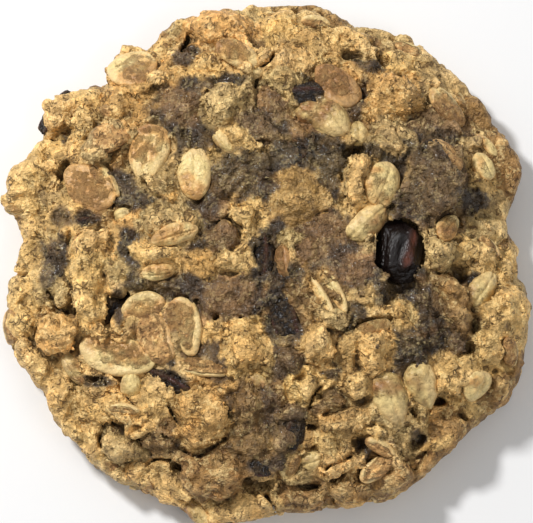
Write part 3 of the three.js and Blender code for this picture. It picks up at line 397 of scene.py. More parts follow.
def outward_share(points):
    """How far out points lie, as a share of the rim's radius."""
    return np.hypot(points[:, 0], points[:, 1]) / rim_radius(np.arctan2(points[:, 1], points[:, 0]))


def crown_height(x, y, outermost=OUTERMOST):
    share = np.minimum(np.hypot(x, y) / rim_radius(np.arctan2(y, x)), outermost)
    return SHOULDER_HEIGHT + (CROWN_HEIGHT - SHOULDER_HEIGHT) * (1 - share**CROWN_POWER) ** CROWN_ROUNDING


def frame_of(place, along, up):
    """A 4x4 frame from its middle, its X and its Z."""
    basis = Matrix((along, up.cross(along), up)).transposed().to_4x4()
    return Matrix.Translation(place) @ basis


def frame_on(x, y, z, slope_x, slope_y, turn):
    """A frame at a point whose Z is the slopes' normal and whose X is turned from +X."""
    up = Vector((-slope_x, -slope_y, 1)).normalized()
    along = Vector((*cos_sin(turn), 0))
    return frame_of((x, y, z), (along - up * along.dot(up)).normalized(), up)


def dome_frame(x, y, turn, lean):
    step = 0.6
    slope_x = (crown_height(x + step, y) - crown_height(x - step, y)) / (2 * step)
    slope_y = (crown_height(x, y + step) - crown_height(x, y - step)) / (2 * step)
    return frame_on(x, y, crown_height(x, y), lean * slope_x, lean * slope_y, turn)


def wall_frame(angle, height):
    """A frame on the side wall, with its Z pointing out."""
    out = Vector((math.cos(angle), math.sin(angle), 0.25)).normalized()
    along = Vector((-math.sin(angle), math.cos(angle), 0))
    radius = float(rim_radius(angle))
    return frame_of((radius * math.cos(angle), radius * math.sin(angle), height), along, out)


def ellipsoid(matrix, half, tone=None, filling=False):
    """A form by its frame and half sizes; for a lump also its tone and whether it only fills a gap."""
    return {"frame": np.array(matrix), "half": np.array(half), "tone": tone, "filling": filling}


def sunk(half, rise, matrix, *look):
    """A form on a frame, sunk so that it stands out by rise."""
    return ellipsoid(matrix @ raised(rise - half[2]), half, *look)


def top_lump(x, y, length, width, turn, rise, tone, filling=False):
    stand = LUMP_RISE * rise
    half = (length / 2, width / 2, max(1.5 * stand, 1.2))
    return sunk(half, stand, dome_frame(x, y, turn, LUMP_LEAN), tone, filling)


def wall_lump(i):
    def between(bounds, draw):
        return bounds[0] + (bounds[1] - bounds[0]) * seeded(i, WALL_SEED + draw)

    angle = (i + 0.7 * seeded(i, WALL_SEED)) / WALL_LUMPS * 2 * math.pi
    stand = between(WALL_RISE, 1)
    half = (between(WALL_LENGTH, 2) / 2, between(WALL_WIDTH, 3) / 2, 2 * stand)
    tone = TONE_NAMES.index(("golden", "khaki", "khaki", "brown")[i % 4])
    return sunk(half, stand, wall_frame(angle, between(WALL_LEVEL, 4)), tone)


def of_tones(forms, column):
    """One column of TONES for each form, and last the same for bare dough."""
    return np.array([TONES[TONE_NAMES[form["tone"]]][column] for form in forms] + [BARE_DOUGH[column]])


LUMP_FORMS = [top_lump(*row, TONE_NAMES.index(tone)) for tone, rows in LUMPS.items() for row in rows]
WALL_FORMS = [wall_lump(i) for i in range(WALL_LUMPS)]
LUMP_HALVES = np.array([form["half"] for form in LUMP_FORMS])
LUMP_CENTRES = np.array([form["frame"][:3, 3] for form in LUMP_FORMS])
LUMP_TURNS = np.array([form["frame"][:3, :3].T for form in LUMP_FORMS])


def lumpy_height(x, y):
    """The height over each (x, y) of the dome with its lumps on."""
    foot = np.stack(np.broadcast_arrays(x, y, 0.0), -1)[..., None, :] - LUMP_CENTRES
    start = np.einsum("nij,...nj->...ni", LUMP_TURNS, foot) / LUMP_HALVES
    ray = LUMP_TURNS[:, :, 2] / LUMP_HALVES
    along = (start * ray).sum(-1)
    ray_square = (ray * ray).sum(-1)
    inside = along**2 - ray_square * ((start * start).sum(-1) - 1)
    height = np.where(inside > 0, (np.sqrt(np.maximum(inside, 0)) - along) / ray_square, 0)
    return np.maximum(crown_height(x, y), height.max(-1))


def resting_frame(x, y, length, width, turn, steepest):
    """A frame on the lumpy top, tipped to lie on the dough under a piece of the given size."""
    bearing = 0.36
    c, s = cos_sin(turn)
    along = np.array((bearing * length, -bearing * length, 0, 0, 0))
    across = np.array((0, 0, bearing * width, -bearing * width, 0))
    front, back, left, right, here = lumpy_height(x + along * c - across * s, y + along * s + across * c)
    lengthwise = (front - back) / (2 * bearing * length)
    crosswise = (left - right) / (2 * bearing * width)
    slope_x = np.clip(lengthwise * c - crosswise * s, -steepest, steepest)
    slope_y = np.clip(lengthwise * s + crosswise * c, -steepest, steepest)
    return frame_on(x, y, ((front + back + left + right) / 4 + here) / 2, slope_x, slope_y, turn)


# ---------------------------------------------------------------- meshes
def linked(name, data):
    """A new object in the scene."""
    obj = bpy.data.objects.new(name, data)
    bpy.context.scene.collection.objects.link(obj)
    return obj


def new_object(name, points, faces):
    """An object from points in millimetres and an array of faces with three or four corners."""
    faces = np.asarray(faces, np.int32)
    mesh = bpy.data.meshes.new(name)
    mesh.vertices.add(len(points))
    mesh.vertices.foreach_set("co", (np.asarray(points) * MM).astype(np.float32).ravel())
    corners = faces.shape[1]
    mesh.loops.add(faces.size)
    mesh.loops.foreach_set("vertex_index", faces.ravel())
    mesh.polygons.add(len(faces))
    mesh.polygons.foreach_set("loop_start", np.arange(0, faces.size, corners, dtype=np.int32))
    mesh.polygons.foreach_set("loop_total", np.full(len(faces), corners, np.int32))
    mesh.update(calc_edges=True)
    mesh.validate()
    mesh.polygons.foreach_set("use_smooth", np.full(len(mesh.polygons), True))
    return linked(name, mesh)


def inside_box(points):
    """Points kept within the solids' own box."""
    return np.clip(points, np.array(CAD_BOX[0]) / MM, np.array(CAD_BOX[1]) / MM)


def set_values(obj, **named):
    """Stores numbers or colours, one for each point, on an object's mesh under their names."""
    for name, values in named.items():
        values = np.asarray(values, np.float32)
        if values.ndim == 1:
            obj.data.attributes.new(name, "FLOAT", "POINT").data.foreach_set("value", values)
        else:
            opaque = np.concatenate([values, np.ones((len(values), 1), np.float32)], axis=1)
            obj.data.attributes.new(name, "FLOAT_COLOR", "POINT").data.foreach_set("color", opaque.ravel())


def points_of(obj):
    flat = np.zeros(len(obj.data.vertices) * 3, np.float32)
    obj.data.vertices.foreach_get("co", flat)
    return flat.reshape(-1, 3) / MM


def dress(obj, material):
    obj.data.materials.append(material)
    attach(obj, "root")
    return obj


def ball(subdivisions):
    """The points and triangles of a unit ball."""
    mesh = bmesh.new()
    bmesh.ops.create_icosphere(mesh, subdivisions=subdivisions, radius=1)
    points = np.array([vertex.co for vertex in mesh.verts])
    faces = np.array([[vertex.index for vertex in face.verts] for face in mesh.faces])
    mesh.free()
    return points, faces


# ---------------------------------------------------------------- the dough
def ellipsoid_distance(points, form, power=2.0):
    """About how far points lie outside an ellipsoid, or a flatter-topped one; negative inside."""
    local = np.abs((points - form["frame"][:3, 3]) @ form["frame"][:3, :3]) / form["half"]
    across, tall = np.hypot(local[..., 0], local[..., 1]) + 1e-6, local[..., 2]
    near = (across**power + tall**power) ** (1 / power) + 1e-6
    slope_across = np.hypot(local[..., 0] / form["half"][0], local[..., 1] / form["half"][1])
    steep = np.hypot(across ** (power - 2) * slope_across, tall ** (power - 1) / form["half"][2])
    return (near - 1) * near ** (power - 1) / np.maximum(steep, 1e-6)


def soft_min(a, b, blend):
    """The lower of two distances, with the crease between them filled over a blend width."""
    share = np.clip(0.5 + 0.5 * (a - b) / blend, 0, 1)
    return a + (b - a) * share - blend * share * (1 - share)


class DoughField:
    """Distances to the dough's surface on a grid: negative in the dough, positive in the air."""

    def __init__(self):
        self.shape = tuple(np.ceil(GRID_SIZE / GRID_STEP).astype(int) + 1)
        self.axes = [(low + GRID_STEP * np.arange(count)).astype(np.float32)
                     for low, count in zip(GRID_LOW, self.shape)]
        self.places = np.stack(np.meshgrid(*self.axes, indexing="ij"), -1)
        self.warped = self.places.copy()
        for i in range(3):
            self.warped[..., i] += 1.15 * self.noise(5.5, 11 + i) + 0.65 * self.noise(2.1, 21 + i)
        self.beyond, self.body = self.smooth_body()
        self.value = self.body.copy()
        self.near = np.full(self.shape, 9.0, np.float32)
        self.second = self.near.copy()
        self.owner = np.full(self.shape, -1, np.int16)
        self.neighbour = self.owner.copy()

    def noise(self, feature, seed):
        """Smooth random values from -1 to 1 over the grid, with features of a size in millimetres."""
        period = feature / GRID_STEP
        values = np.random.default_rng(seed).uniform(-1, 1, [int(n / period) + 3 for n in self.shape])
        values = values.astype(np.float32)
        for axis, count in enumerate(self.shape):
            place = (np.arange(count) / period).astype(np.float32)
            low = place.astype(int)
            way = place - low
            way = (way * way * (3 - 2 * way)).reshape([-1 if i == axis else 1 for i in range(3)])
            values = np.take(values, low, axis) * (1 - way) + np.take(values, low + 1, axis) * way
        return values

    def ridges(self, feature, seed):
        """Random values with sharp low creases, about 0 in the mean."""
        return np.abs(self.noise(feature, seed)) - 0.33

    def smooth_body(self):
        """How far each place lies beyond the side wall; and beyond that or over the dome, without lumps."""
        x, y = np.meshgrid(self.axes[0], self.axes[1], indexing="ij")
        top = crown_height(x, y, 0.9995)
        slope = np.hypot(*np.gradient(top, GRID_STEP))
        over = (self.axes[2] - top[..., None] - FILL) / np.sqrt(1 + slope**2)[..., None]
        wall = rim_radius(np.arctan2(y, x))[..., None] * np.interp(self.axes[2], WALL_HEIGHTS, WALL_SHARES)
        beyond = (np.hypot(x, y)[..., None] - wall).astype(np.float32)
        return beyond, np.maximum(over, beyond).astype(np.float32)

    def window(self, centre, reach):
        """The part of the grid within a reach of a point."""
        low = np.floor((np.asarray(centre) - reach - GRID_LOW) / GRID_STEP).astype(int)
        high = np.ceil((np.asarray(centre) + reach - GRID_LOW) / GRID_STEP).astype(int) + 1
        return tuple(slice(max(a, 0), max(b, 0)) for a, b in zip(low, high))

    def add(self, form, blend, power=2.0):
        part = self.window(form["frame"][:3, 3], form["half"].max() + BLEND_REACH)
        distance = ellipsoid_distance(self.warped[part], form, power).astype(np.float32)
        self.value[part] = soft_min(self.value[part], distance, blend)
        return part, distance

    def add_lump(self, form, number):
        """Adds a lump and keeps, for each grid place, the two nearest lumps and how near they are."""
        part, distance = self.add(form, FILLING_BLEND if form["filling"] else LUMP_BLEND, LUMP_POWER)
        near, second, owner = self.near[part], self.second[part], self.owner[part]
        closer = distance < near
        next_one = ~closer & (distance < second)
        self.neighbour[part] = np.where(closer, owner, np.where(next_one, number, self.neighbour[part]))
        self.second[part] = np.where(closer, near, np.minimum(second, distance))
        self.near[part] = np.where(closer, distance, near)
        self.owner[part] = np.where(closer, number, owner)

    def cut(self, distance, part):
        self.value[part] = np.maximum(self.value[part], -distance)


def moist_share(points):
    """How much the dough at points lies in the patches, of juice glaze and of painted shadow, and how dark
    they make it, from 0 to 1.
    """
    share, dark = np.zeros(len(points)), np.zeros(len(points))
    ragged = 0.35 * noise_at(points / 3.0, 3) + 0.3 * noise_at(points / 1.2, 4)
    for x, y, length, width, turn, darkness in JUICE_AND_SHADOW_PATCHES:
        c, s = cos_sin(turn)
        dx, dy = points[:, 0] - x, points[:, 1] - y
        reach = np.hypot((dx * c + dy * s) / (length / 2), (dy * c - dx * s) / (width / 2))
        inside = smoothstep(1.15 - reach + ragged, 0, 0.45)
        share = np.maximum(share, inside)
        dark = np.maximum(dark, darkness * inside)
    high = smoothstep(points[:, 2], 3.0, 8.0)
    return share * high, dark * high


def oat_place(x, y, length, width, turn):
    """The frame of a listed oat, its middle plane a little over the dough."""
    return resting_frame(x, y, length, width, turn, OAT_STEEPEST) @ raised(OAT_LIFT - 0.1)


def nearby_tone(x, y, rng):
    """The tone of the listed lump nearest to (x, y), or now and then another one."""
    if rng.uniform() < 0.2:
        return TONE_NAMES.index(str(rng.choice(("golden", "khaki", "brown", "orange"))))
    away = np.hypot(LUMP_CENTRES[:, 0] - x, LUMP_CENTRES[:, 1] - y) - LUMP_HALVES[:, :2].mean(axis=1)
    return LUMP_FORMS[int(np.argmin(away))]["tone"]


def filling_lumps(rng):
    """Lumps that fill the dough between the listed ones, so that no part of it is smooth."""
    forms, taken = [], [(row[0], row[1], 0.3 * (row[2] + row[3])) for rows in LUMPS.values() for row in rows]
    for _ in range(FILLING_TRIES):
        angle, share = rng.uniform(0, 2 * math.pi), math.sqrt(rng.uniform(0, 0.97))
        size = rng.uniform(2.6, 6.4)
        radius = share * float(rim_radius(angle))
        x, y = radius * math.cos(angle), radius * math.sin(angle)
        if any(math.hypot(x - a, y - b) < 0.75 * (reach + 0.5 * size) for a, b, reach in taken):
            continue
        taken.append((x, y, 0.5 * size))
        moist = moist_share(np.array(((x, y, 12.0),)))[0][0] > 0.5
        rise = rng.uniform(0.12, 0.35) if moist else rng.uniform(0.2, 0.6)
        forms.append(top_lump(x, y, size, size * rng.uniform(0.55, 1), rng.uniform(0, 180), rise,
                              nearby_tone(x, y, rng), True))
    for i in range(WALL_FILLINGS):
        size = rng.uniform(2.6, 5.2)
        angle = (i + rng.uniform(0, 1)) / WALL_FILLINGS * 2 * math.pi
        matrix = wall_frame(angle, rng.uniform(0.6, 7.5))
        matrix = matrix @ Matrix.Rotation(rng.uniform(0, 3.14), 4, "Z")
        half = (0.5 * size, 0.5 * size * rng.uniform(0.55, 1), 0.34 * size)
        tone = rng.choice(("golden", "khaki", "golden", "brown"))
        forms.append(sunk(half, rng.uniform(0.4, 0.9), matrix, TONE_NAMES.index(str(tone)), True))
    return forms


def crusted(look):
    """How far dough laps over an oat or a kernel, from the values at the end of its row."""
    is_oat = len(look) > 2
    return look[1] if is_oat else look[0] - 0.2


def knob_half(rng, tall):
    """The half sizes of a knob of dough that laps over a rim."""
    return rng.uniform(0.6, 1.5) * np.array((1, rng.uniform(0.6, 1), tall))


def collars(rng):
    """Knobs of dough that lap over the rims of the crusted oats and kernels, with a side left free."""
    forms = []
    for x, y, length, width, turn, *look in OATS + KERNELS:
        if crusted(look) < 0.3:
            continue
        free = rng.uniform(0, 2 * math.pi)
        for _ in range(int(length * 1.4)):
            angle = free + rng.uniform(0.9, 2 * math.pi - 0.9)
            at = (0.53 * length * math.cos(angle), 0.55 * width * math.sin(angle), rng.uniform(-0.5, 0.1))
            matrix = resting_frame(x, y, length, width, turn, OAT_STEEPEST) @ Matrix.Translation(at)
            forms.append(ellipsoid(matrix, knob_half(rng, 0.75)))
    return forms


def raisin_frame(centre, turn):
    """A raisin's own frame, with its X along the raisin."""
    return Matrix.Translation(centre) @ Matrix.Rotation(math.radians(turn), 4, "Z")


def raisin_collars(rng):
    """Knobs of sticky dough that lap over the raisins."""
    forms = []
    for _, centre, size, turn, _, _, _, count, bared in RAISINS:
        for _ in range(count):
            angle = rng.uniform(0, 2 * math.pi)
            at = 0.5 * bared * Vector((size[0] * math.cos(angle), size[1] * math.sin(angle), 0))
            at = Matrix.Rotation(math.radians(turn), 3, "Z") @ at
            x, y = centre[0] + at.x, centre[1] + at.y
            half = knob_half(rng, 0.7)
            matrix = resting_frame(x, y, 2 * half[0], 2 * half[1], rng.uniform(0, 180), 1.0)
            forms.append(ellipsoid(matrix @ raised(-0.2), half))
    return forms


def nodules(rng):
    """Knobs of dough, a millimetre or two across, scattered over the top and the side wall."""
    forms = []
    for i in range(NODULES):
        angle, size = rng.uniform(0, 2 * math.pi), 0.9 + 2.1 * rng.uniform(0, 1) ** 1.6
        half = (0.6 * size, 0.6 * size * rng.uniform(0.5, 1), 0.45 * size)
        rise = size * rng.uniform(0.1, 0.32)
        if i % 4 == 0:
            matrix = wall_frame(angle, rng.uniform(0.8, 7.5)) @ Matrix.Rotation(rng.uniform(0, 3.1), 4, "Z")
        else:
            radius = 0.98 * rim_radius(angle) * math.sqrt(rng.uniform(0, 1))
            x, y = radius * math.cos(angle), radius * math.sin(angle)
            matrix = resting_frame(x, y, size, size, rng.uniform(0, 180), 2.0)
        forms.append(sunk(half, rise, matrix))
    return forms


def crack_distance(points, width, depth, route, value):
    """How far points lie outside a crack that narrows with depth."""
    flat = points[..., :2]
    nearest = np.full(flat.shape[:-1], 99.0)
    for a, b in zip(route, route[1:]):
        a, b = np.array(a), np.array(b)
        way = np.clip(((flat - a) @ (b - a)) / ((b - a) @ (b - a)), 0, 1)
        nearest = np.minimum(nearest, np.linalg.norm(flat - a - way[..., None] * (b - a), axis=-1))
    return nearest - 0.6 * width * np.clip(1 + value / depth, 0, 1)


def cut_beds(field):
    """Clears the dough off the listed oats and kernels, and leaves a gap round their rims."""
    for x, y, length, width, turn, *_ in OATS + KERNELS:
        place = oat_place(x, y, length, width, turn)
        for share, lift, tall in ((0.48, 1.25, 1.45), (0.64, 0.5, 1.15)):
            half = (min(share * length, length / 2 + 0.9), share * width + 0.1, tall)
            form = ellipsoid(place @ raised(lift), half)
            part = field.window(form["frame"][:3, 3], length / 2 + 3.0)
            points = field.warped[part] if share > 0.5 else field.places[part]
            field.cut(ellipsoid_distance(points, form), part)


def cut_openings(field):
    """Cuts the pits, the cracks and the raisins' pockets, and trims the dough to the solids' box."""
    for x, y, length, width, turn, pit_depth in PITS:
        matrix = resting_frame(x, y, length, width, turn, 0.6)
        form = ellipsoid(matrix, (0.6 * length, 0.6 * width, pit_depth))
        part = field.window((x, y, matrix[2][3]), max(length, pit_depth) + 1.5)
        field.cut(ellipsoid_distance(field.warped[part], form), part)
    for width, crack_depth, route in CRACKS:
        reach = np.ptp(route, axis=0).max() / 2 + 2
        part = field.window((*np.mean(route, axis=0), 9.0), np.array((reach, reach, 9.0)))
        field.cut(crack_distance(field.warped[part], width, crack_depth, route, field.value[part]), part)
    for _, centre, size, turn, *_, bared in RAISINS:
        half = np.array(size) / 2 * (bared, bared, 1) + RAISIN_GAP
        form = ellipsoid(raisin_frame(centre, turn), half)
        part = field.window(centre, max(size) / 2 + 1.5)
        field.cut(ellipsoid_distance(field.places[part], form), part)
    low = np.array(CAD_BOX[0]) / MM + (0.02, 0.02, 0)
    high = np.array(CAD_BOX[1]) / MM - 0.02
    for i in range(3):
        field.value = np.maximum(field.value, low[i] - field.places[..., i])
        field.value = np.maximum(field.value, field.places[..., i] - high[i])


def build_field():
    field = DoughField()
    rng = np.random.default_rng(SEED)
    forms = LUMP_FORMS + WALL_FORMS + filling_lumps(rng)
    for number, form in enumerate(forms):
        field.add_lump(form, number)

    # crevices run where lumps meet, deeper in some places than in others
    tones = np.array([form["tone"] for form in forms] + [-1])
    filling = np.array([form["filling"] for form in forms] + [False])
    parting = np.where(tones[field.owner] == tones[field.neighbour], 0.2, 1.0)
    parting = np.where(filling[field.owner] | filling[field.neighbour], 0.45, parting)
    joint = parting * np.exp(-(((field.second - field.near) / 0.45) ** 2)) * (field.near < 1.2)
    foot = np.exp(-(((field.body - field.near) / 0.5) ** 2))
    depth = np.clip(0.45 + 1.2 * field.noise(5.5, 31), 0, 1.3)
    field.value += (depth * (joint + 0.4 * foot)).astype(np.float32)

    for form in nodules(rng):
        field.add(form, 0.5)

    # the lumps at the rim don't stand far out of the side wall
    field.value = -soft_min(-field.value, WALL_REACH - field.beyond, 1.2)
    cut_beds(field)
    for form in collars(rng):
        field.add(form, 0.7)

    # crags, terraces, crumb and pores, fainter at the rim
    x, y = np.meshgrid(field.axes[0], field.axes[1], indexing="ij")
    outer = smoothstep(np.hypot(x, y) / rim_radius(np.arctan2(y, x)), 0.93, 0.99)[..., None]
    crumbly = of_tones(forms, CRUMBLY).astype(np.float32)[field.owner]
    crumbly = crumbly * (1 - 0.4 * outer).astype(np.float32)
    crag = 0.22 * field.noise(3.2, 51) - 0.60 * field.ridges(2.2, 52)
    terrace = 2.6 * field.noise(4.2, 56) + 0.5 * field.noise(1.4, 57)
    crag += 0.42 * (np.floor(terrace) + smoothstep(terrace - np.floor(terrace), 0.42, 0.58) - terrace)
    crumb = 0.14 * field.noise(0.7, 54) - 0.48 * field.ridges(1.2, 53)
    pore = 0.4 * smoothstep(field.noise(1.3, 55), 0.5, 0.85)
    field.value += crumbly * (crag + crumb + pore)
    cut_openings(field)
    for form in raisin_collars(rng):
        field.add(form, 0.5)
    return field, forms


def surface_net(values):
    """The points, in grid steps, and four-sided faces of the surface where a grid of values is zero."""
    inside = values < 0
    count = 0
    for corner in np.ndindex(2, 2, 2):
        part = tuple(slice(c, size - 1 + c) for c, size in zip(corner, inside.shape))
        count = count + inside[part].astype(np.uint8)
    active = (count > 0) & (count < 8)
    cells = np.argwhere(active)
    total, hits = np.zeros((len(cells), 3)), np.zeros(len(cells))
    for start in np.ndindex(2, 2, 2):
        for axis in range(3):
            if start[axis]:
                continue
            end = tuple(c + (i == axis) for i, c in enumerate(start))
            a = values[tuple((cells + start).T)]
            b = values[tuple((cells + end).T)]
            crossed = (a < 0) != (b < 0)
            way = np.where(crossed, a / np.where(crossed, a - b, 1), 0)
            total += crossed[:, None] * (np.array(start) + way[:, None] * np.eye(3)[axis])
            hits += crossed
    number = np.full(active.shape, -1, np.int32)
    number[active] = np.arange(len(cells))
    faces = []
    for axis in range(3):
        u, v = np.eye(3, dtype=int)[(axis + 1) % 3], np.eye(3, dtype=int)[(axis + 2) % 3]
        low = [slice(1, -1)] * 3
        high = list(low)
        low[axis], high[axis] = slice(0, -1), slice(1, None)
        first, last = inside[tuple(low)], inside[tuple(high)]
        edges = np.argwhere(first != last) + 1
        edges[:, axis] -= 1
        quad = np.stack([number[tuple((edges - shift).T)] for shift in (u + v, v, 0 * u, u)], axis=1)
        leaving = inside[tuple(edges.T)]
        faces.append(np.where(leaving[:, None], quad, quad[:, ::-1]))
    return cells + total / hits[:, None], np.concatenate(faces)


def largest_part(points, faces):
    """The points and faces of the largest connected part."""
    label = np.arange(len(points))
    ends = np.concatenate([faces[:, [i, (i + 1) % 4]] for i in range(4)])
    while True:
        lowest = label.copy()
        np.minimum.at(lowest, ends[:, 0], label[ends[:, 1]])
        np.minimum.at(lowest, ends[:, 1], label[ends[:, 0]])
        lowest = lowest[lowest]
        if (lowest == label).all():
            break
        label = lowest
    main = np.bincount(label[faces[:, 0]]).argmax()
    kept = label == main
    renumber = np.cumsum(kept) - 1
    return points[kept], renumber[faces[kept[faces[:, 0]]]]


def box_blur(values, radius):
    """The mean over a cube of the given radius in grid steps."""
    for axis in range(3):
        padded = np.pad(values, [(radius + 1, radius) if i == axis else (0, 0) for i in range(3)], "edge")
        sums = np.cumsum(padded, axis=axis, dtype=np.float64)
        ahead = np.take(sums, np.arange(2 * radius + 1, sums.shape[axis]), axis)
        behind = np.take(sums, np.arange(0, sums.shape[axis] - 2 * radius - 1), axis)
        values = ((ahead - behind) / (2 * radius + 1)).astype(np.float32)
    return values


def blend(a, b, share):
    """Colours a, taken towards colours b by a share for each point."""
    return a + (b - a) * np.asarray(share)[:, None]


def limited(colours, most):
    """Colours with none of their three parts over a limit, and their hue kept."""
    return colours * np.minimum(1, most / np.maximum(colours.max(axis=1), 1e-6))[:, None]


def paint_dough(obj, field, forms):
    """Stores the dough's colour, with painted shade in its hollows and painted light on its crests and rim,
    how hollow it is, and its moist gloss on its points.
    """
    points = points_of(obj)
    solid = (field.value < 0).astype(np.float32)
    steps = (points - GRID_LOW) / GRID_STEP

    def sample(grid, jitter=0.0):
        offset = jitter * np.stack([noise_at(points / 1.1, 60 + i) for i in range(3)], -1) / GRID_STEP
        at = np.clip(np.rint(steps + offset).astype(int), 0, np.array(grid.shape) - 1)
        return grid[tuple(at.T)]

    # how enclosed each point is, for painted shade in the hollows, and how far it stands out, for painted
    # light on the crests
    fine = sample(box_blur(solid, max(1, round(0.8 / GRID_STEP))))
    broad = sample(box_blur(solid, max(2, round(2.4 / GRID_STEP))))
    hollow = np.clip(0.45 * smoothstep(fine, 0.66, 0.92) + 0.8 * smoothstep(broad, 0.55, 0.8), 0, 1)
    proud = smoothstep(broad, 0.47, 0.27)

    number = sample(field.owner, 0.45)
    rng = np.random.default_rng(SEED + 1)
    colours = linear(of_tones(forms, COLOUR))
    varied = rng.uniform(0.9, 1.1, (len(forms), 1)) * (1 + 0.015 * rng.uniform(-1, 1, (len(forms), 3)))
    colours[:-1] *= varied
    tint = colours[number]

    # within every lump the crumb goes from pale khaki to toasted; the pale share leans a little to the proud
    # crests as painted highlight
    toasted = smoothstep(noise_at(points / 3.2, 5) + 0.5 * noise_at(points / 1.1, 6) + 0.5 * proud, 0.35, 1.0)
    paler = smoothstep(noise_at(points / 2.6, 15) + 0.6 * noise_at(points / 0.9, 16) + 0.3 * proud, 0.3, 1.0)
    tint = blend(tint, tint * np.array(TOASTING), 0.6 * toasted)
    tint = blend(tint, linear(PALE_CRUMB), 0.45 * paler)

    # the raisins' juice stains it, and two strips are painted shadow, but not the tops of the lumps that stay
    # clear
    glazed, soaked_and_shadowed = moist_share(points)
    filling = np.array([form["filling"] for form in forms] + [False])
    kept = np.where(filling, FILLING_CLEAR, of_tones(forms, CLEAR))[number]
    away = sample(field.near) + 0.2 * noise_at(points / 1.1, 17)
    bared = smoothstep(away, 1.0, 0.5) * kept
    stain_and_shadow = glazed * (1 - bared)
    stained_and_shadowed = blend(np.tile(linear(GLAZED_DOUGH), (len(points), 1)), linear(STAINED_AND_SHADOWED_DOUGH), soaked_and_shadowed)
    stained_and_shadowed *= (1 + 0.3 * noise_at(points / 2.5, 18) + 0.35 * noise_at(points / 1.0, 19))[:, None]
    tint = blend(tint, stained_and_shadowed, 0.95 * stain_and_shadow)

    # crests and the rim are painted lighter as if lit, hollows painted darker where shade falls, and the
    # underside is browned
    grain = 1 + 0.22 * noise_at(points / 1.5, 7) + 0.12 * noise_at(points / 0.8, 8)
    # the grain is a random tone; the proud factor is painted highlight on the crests
    tint = tint * (grain * (1 + 0.35 * proud))[:, None] ** (1.0, 1.05, 1.25)
    # painted light: the rim made paler as if lit from all round
    tint = tint * (1 + 0.16 * smoothstep(outward_share(points), 0.84, 0.98))[:, None]
    # painted shade: hollows darkened where shade would fall in them
    tint = blend(tint, linear(PAINTED_CREVICE_SHADE), 0.85 * hollow)
    browned = linear(BROWNED_BASE) * (1 + 0.2 * noise_at(points / 4.0, 9))[:, None]
    tint = blend(tint, browned, 0.9 * smoothstep(points[:, 2], 1.4, 0.1))
    tint = limited(np.maximum(tint, DARKEST_DOUGH), BRIGHTEST_DOUGH)
    gloss = of_tones(forms, GLOSSY)[number]
    moist = np.clip(np.maximum(stain_and_shadow, gloss) + 0.2 * hollow, 0, 1)
    set_values(obj, tint=tint, hollow=hollow, moist=moist)


def make_dough(material):
    field, forms = build_field()
    steps, faces = surface_net(field.value)
    steps, faces = largest_part(steps, faces)
    obj = new_object("dough", inside_box(GRID_LOW + GRID_STEP * steps), faces)

    # thinned to the number of triangles that one piece may have
    if 2 * len(faces) > DOUGH_TRIANGLES:
        thin = obj.modifiers.new("thin", "DECIMATE")
        thin.ratio = DOUGH_TRIANGLES / (2 * len(faces))
        thinned = obj.evaluated_get(bpy.context.evaluated_depsgraph_get())
        mesh = bpy.data.meshes.new_from_object(thinned)
        obj.modifiers.clear()
        obj.data = mesh
        mesh.name = "dough"
        mesh.polygons.foreach_set("use_smooth", np.full(len(mesh.polygons), True))
        # thinning may move points a little out of the box
        mesh.vertices.foreach_set("co", (inside_box(points_of(obj)) * MM).astype(np.float32).ravel())
    paint_dough(obj, field, forms)
    dress(obj, material)
    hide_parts("cookie")
    return obj


